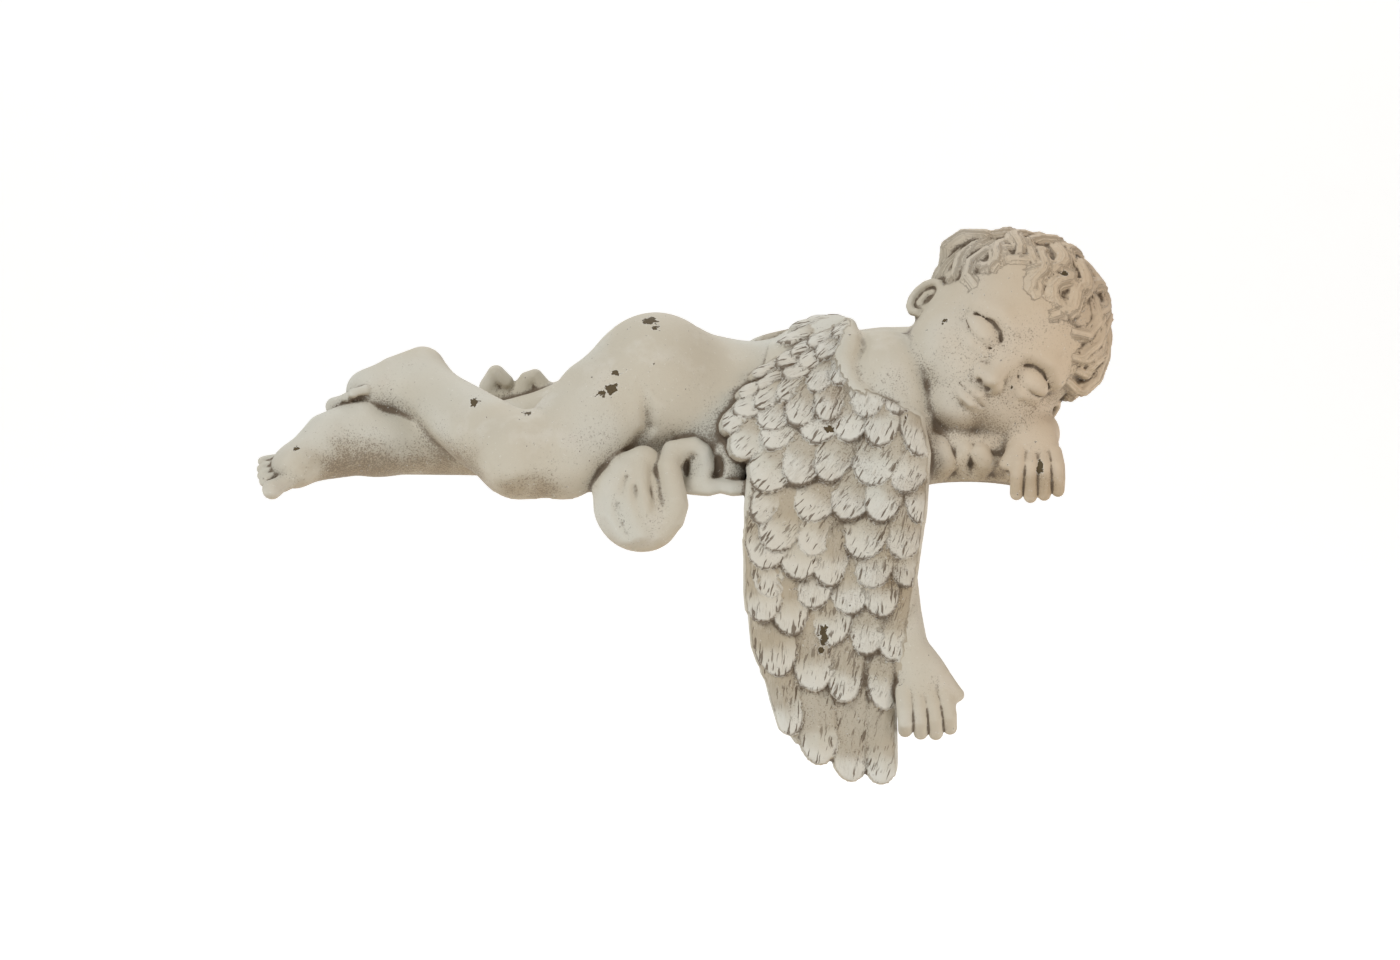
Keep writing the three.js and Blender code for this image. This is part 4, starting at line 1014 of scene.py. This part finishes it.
frontFacing = readPoints(angel.data.vertex_normals, "vector")[:, 1] < -0.1
addValues("chip", np.where(frontFacing, insideSpots(chips, 1.6), 0))
# the brown patches on the lower parts are painted shade
addValues("lowShade", np.clip(insideSpots(lowShadePatches, 1) * 1.5, 0, 1))
del clay, solid, fine, coarse

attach(angel, "root")
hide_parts("sleeping_angel")


# Camera, as the photo looks: level with the figure and a little above

view = {"target": (0, -0.025, 0.0039), "distance": 1.7, "elevation": 6, "lens": 87.4}
camera = addToScene("camera", bpy.data.cameras.new("camera"))
camera.data.sensor_width = 36
camera.data.lens = view["lens"]
tilt = math.radians(view["elevation"])
target = Vector(view["target"])
camera.location = target + view["distance"] * Vector((0, -math.cos(tilt), math.sin(tilt)))
camera.rotation_euler = (target - camera.location).to_track_quat("-Z", "Y").to_euler()
bpy.context.scene.camera = camera


# Shader maths as Python expressions

class Sock:
    def __init__(self, graph, socket):
        self.graph, self.socket = graph, socket

    def combine(self, operation, *values):
        return self.graph.node("ShaderNodeMath", {"operation": operation}, values)

    def __add__(self, other): return self.combine("ADD", self, other)
    def __radd__(self, other): return self.combine("ADD", other, self)
    def __sub__(self, other): return self.combine("SUBTRACT", self, other)
    def __rsub__(self, other): return self.combine("SUBTRACT", other, self)
    def __mul__(self, other): return self.combine("MULTIPLY", self, other)
    def __rmul__(self, other): return self.combine("MULTIPLY", other, self)
    def __neg__(self): return self.combine("MULTIPLY", self, -1.0)


class Graph:
    def __init__(self, name):
        self.material = bpy.data.materials.new(name)
        self.material.use_nodes = True
        self.tree = self.material.node_tree
        self.shader = self.tree.nodes["Principled BSDF"]

    def node(self, kind, settings=None, values=None, out=0):
        node = self.tree.nodes.new(kind)
        for key, value in (settings or {}).items():
            setattr(node, key, value)
        items = values.items() if isinstance(values, dict) else enumerate(values or ())
        for key, value in items:
            self.put(node.inputs[key], value)
        return Sock(self, node.outputs[out])

    def put(self, socket, value):
        if isinstance(value, Sock):
            self.tree.links.new(value.socket, socket)
        else:
            socket.default_value = value

    def set(self, **values):
        for key, value in values.items():
            self.put(self.shader.inputs[key.replace("_", " ")], value)

    def value(self, name):
        return self.node("ShaderNodeAttribute", {"attribute_name": name}, out="Fac")

    def noise(self, vector, scale, detail=3, roughness=0.55):
        return self.node("ShaderNodeTexNoise", {}, {
            "Vector": vector, "Scale": scale, "Detail": detail, "Roughness": roughness})

    def step(self, value, low, high, top=1.0):  # 0 below low, top above high
        return self.node("ShaderNodeMapRange", {"interpolation_type": "SMOOTHSTEP"}, {
            "Value": value, "From Min": low, "From Max": high, "To Min": 0.0, "To Max": top})

    def mix(self, share, a, b):
        return self.node("ShaderNodeMix", {"data_type": "RGBA"}, {0: share, 6: a, 7: b}, out=2)

    def vector(self, x, y, z):
        return self.node("ShaderNodeCombineXYZ", {}, (x, y, z))


def colour(red, green, blue):
    return (red, green, blue, 1)


stone = {
    "base": colour(0.535, 0.495, 0.405),
    "cool": colour(0.575, 0.565, 0.50),
    # painted warm light, laid on the head's far side
    "paintedWarmLight": colour(0.60, 0.445, 0.29),
    # dark wash, and painted shade in creases, hollows and along feather tips
    "darkWashAndShade": colour(0.115, 0.08, 0.047),
    # brown, also painted shade on faces turned down and on the lower parts
    "brownAndShade": colour(0.27, 0.185, 0.085),
    "chip": colour(0.075, 0.05, 0.016),
    # pale, also painted highlight on feather tips
    "paleAndHighlight": colour(0.72, 0.71, 0.66),
    "roughness": 0.66,
}


def makeStone():
    g = Graph("castStone")
    spot = g.node("ShaderNodeTexCoord", out="Object")
    x = g.node("ShaderNodeSeparateXYZ", {}, (spot,), out=0)
    upward = g.node("ShaderNodeSeparateXYZ", {}, (g.node("ShaderNodeNewGeometry", out="Normal"),), out=2)
    crease, hollow, edge, strand, chip, lowShade = [
        g.value(name) for name in ("crease", "hollow", "edge", "strand", "chip", "lowShade")]
    side, back, number, rim = [g.value(name) for name in offFeather]
    broad = g.noise(spot, 14, 2)
    patch = g.noise(spot, 55, 4, 0.6)
    grain = g.noise(spot, 900, 3, 0.7)
    fleck = g.noise(spot, 420, 2, 0.6)
    stipple = g.noise(spot, 1250, 2, 0.6)
    skin = g.mix(g.step(broad, 0.42, 0.62), stone["base"], stone["cool"])

    def coat(share, finish):
        nonlocal skin
        skin = g.mix(share, skin, stone[finish])

    coat(g.step(patch, 0.5, 0.75, 0.4), "paleAndHighlight")
    # painted warm light: warmer towards the head's far side; painted shade: browner where it faces down
    coat(g.step(x + 0.06 * (broad - 0.5), 0.085, 0.19, 0.62), "paintedWarmLight")
    # the brown on faces turned down is painted shade
    coat(g.step(0.2 * broad - upward, 0.25, 1.05, 0.6), "brownAndShade")
    # painted shade: brown patches on the lower parts, patchy
    coat(g.step(lowShade + 2.0 * (patch - 0.5) + 1.2 * (broad - 0.5), 0.0, 1.7, 0.75), "brownAndShade")
    # a feather is pale towards its tip, dull and brown where it comes out from below the next; partly the
    # antique finish, partly painted highlight on the raised tip and painted shade under the next feather
    onFeather = g.step(number, 0.2, 0.8)
    coat(g.step(back + 16 * (patch - 0.5), -17.0, -8.0, 0.4) * onFeather, "paleAndHighlight")
    coat(g.step(18 * (patch - 0.5) - back, 11.0, 20.0, 0.42) * onFeather, "brownAndShade")
    # dark wash, held in creases and hollows and rubbed off the high spots; also painted shade, darkening
    # creases, hollows and narrow crevices as shade would
    washedAndShaded = g.step(crease + 0.14 * (patch - 0.5), 0.51, 0.66, 0.7)
    washedAndShaded = washedAndShaded + g.step(hollow + 0.1 * (patch - 0.5), 0.56, 0.86, 0.5)
    washedAndShaded = washedAndShaded + g.step(edge + 0.1 * (fleck - 0.5), 0.55, 0.70, 0.7)
    coat(g.step(washedAndShaded + 0.3 * (fleck - 0.5), 0.06, 1.0, 0.9), "darkWashAndShade")
    # stippling, denser in hollows and below; the speckle is part of the finish, and its gathering in hollows
    # and on faces turned down is painted shade
    dirtAndShade = 1.5 * (hollow - 0.5) + 1.3 * (crease - 0.5) + 0.9 * (broad - 0.5) + 0.35 * lowShade - 0.2 * upward
    stippled = g.step(stipple + 0.4 * dirtAndShade + 0.25 * (patch - 0.5), 0.57, 0.75)
    coat(stippled * 0.55, "darkWashAndShade")
    # a dark line round each feather's tip, broken here and there: painted shadow of the step at the
    # feather's edge
    outline = g.step(0.8 * (fleck - 0.5) - rim, -1.7, -0.6) * g.step(back, -28.0, -15.0) * onFeather
    coat(outline * g.step(patch, 0.30, 0.46, 0.85), "darkWashAndShade")
    # short incised strokes along each feather, in clusters, and a few deep ones near its tip
    across = side + 0.25 * back

    def alongFeather(fine, long, turn):  # noise drawn out along the feather, another on each one
        return g.noise(g.vector(across * fine, back * long, number * turn), 1.0, 1, 0.5)

    cluster = g.step(g.noise(spot, 75, 1), 0.46, 0.56)
    strokes = g.step(alongFeather(0.9, 0.13, 3.1), 0.60, 0.64) * cluster * g.step(-back, 5.0, 10.0)
    deep = g.step(alongFeather(0.75, 0.11, 7.7), 0.61, 0.65)
    deep = deep * g.step(-rim, -6.5, -4.0) * g.step(rim, 0.0, 1.2)
    stroke = strokes * onFeather * 0.75 + deep * onFeather
    hatched = g.step(alongFeather(2.1, 0.2, 5.3), 0.5, 0.66) * g.step(patch, 0.44, 0.56) * onFeather
    coat(hatched * 0.14, "brownAndShade")
    coat(stroke * 0.85, "darkWashAndShade")
    # strands of the hair
    onHair = g.step(strand, 50.0, 60.0)
    strands = g.noise(g.vector(strand * 1.15, patch * 0.6, broad), 1.0, 1, 0.5)
    stranded = g.step(strands, 0.47, 0.62) * onHair
    coat(stranded * 0.4, "darkWashAndShade")
    # chips down to the resin, and specks
    worn = 1.15 * chip + 2.2 * (fleck - 0.5) + 1.2 * (grain - 0.5)
    chipped = g.step(worn, 0.60, 0.70)
    coat(g.step(worn, 0.40, 0.55, 0.5), "paleAndHighlight")
    coat(chipped, "chip")
    coat(g.step(fleck, 0.70, 0.745) * 0.5, "darkWashAndShade")
    g.set(Base_Color=skin, Roughness=stone["roughness"] + 0.2 * (grain - 0.5))
    height = 0.4 * grain + 0.5 * fleck - 1.1 * stroke - 0.4 * hatched
    height = height - 0.9 * stranded - 1.2 * chipped - 0.4 * stippled
    g.set(Normal=g.node("ShaderNodeBump", {}, {"Strength": 0.6, "Distance": 0.0007, "Height": height}))
    return g.material


angel.data.materials.append(makeStone())
note("stone finish")


# Plain pale studio

studio = {"floor": -0.42, "paper": colour(0.93, 0.93, 0.925), "glow": 0.42, "world": 0.34}


def makePaper():
    g = Graph("palePaper")
    g.set(Base_Color=studio["paper"], Roughness=0.9)
    g.set(Emission_Color=studio["paper"], Emission_Strength=studio["glow"])
    return g.material


def makeSweep():  # a floor that curves up into a back wall
    width, depth, front, rise, bend = 8.0, 2.6, -3.5, 4.5, 1.0
    outline = [(front, 0.0), (depth - bend, 0.0)]
    for i in range(1, 13):
        turn = math.radians(90 * i / 12)
        outline.append((depth - bend + bend * math.sin(turn), bend - bend * math.cos(turn)))
    outline.append((depth, rise))
    rows = [(s * width / 2, y, studio["floor"] + z) for y, z in outline for s in (-1, 1)]
    faces = [(2 * i, 2 * i + 1, 2 * i + 3, 2 * i + 2) for i in range(len(outline) - 1)]
    mesh = bpy.data.meshes.new("sweep")
    mesh.from_pydata(rows, [], faces)
    mesh.materials.append(makePaper())
    mesh.polygons.foreach_set("use_smooth", [True] * len(mesh.polygons))
    return addToScene("sweep", mesh)


makeSweep()

lamps = [  # where, watts, size, colour
    ((-0.9, -1.1, 1.5), 21, 0.55, (1.0, 0.985, 0.96)),
    ((1.5, -0.7, 0.5), 6, 0.6, (1.0, 0.78, 0.58)),
    ((0.2, 0.9, 1.4), 6, 0.8, (0.95, 0.97, 1.0)),
]
for where, watts, size, tint in lamps:
    light = bpy.data.lights.new("softLight", "AREA")
    light.energy, light.size, light.color = watts, size, tint
    lamp = addToScene("softLight", light)
    lamp.location = where
    lamp.rotation_euler = (-Vector(where)).to_track_quat("-Z", "Y").to_euler()

sky = bpy.data.worlds.new("studio")
bpy.context.scene.world = sky
sky.use_nodes = True
glow = sky.node_tree.nodes["Background"].inputs
glow["Color"].default_value = colour(1, 1, 1)
glow["Strength"].default_value = studio["world"]
bpy.context.scene.view_settings.view_transform = "Standard"
note("studio")
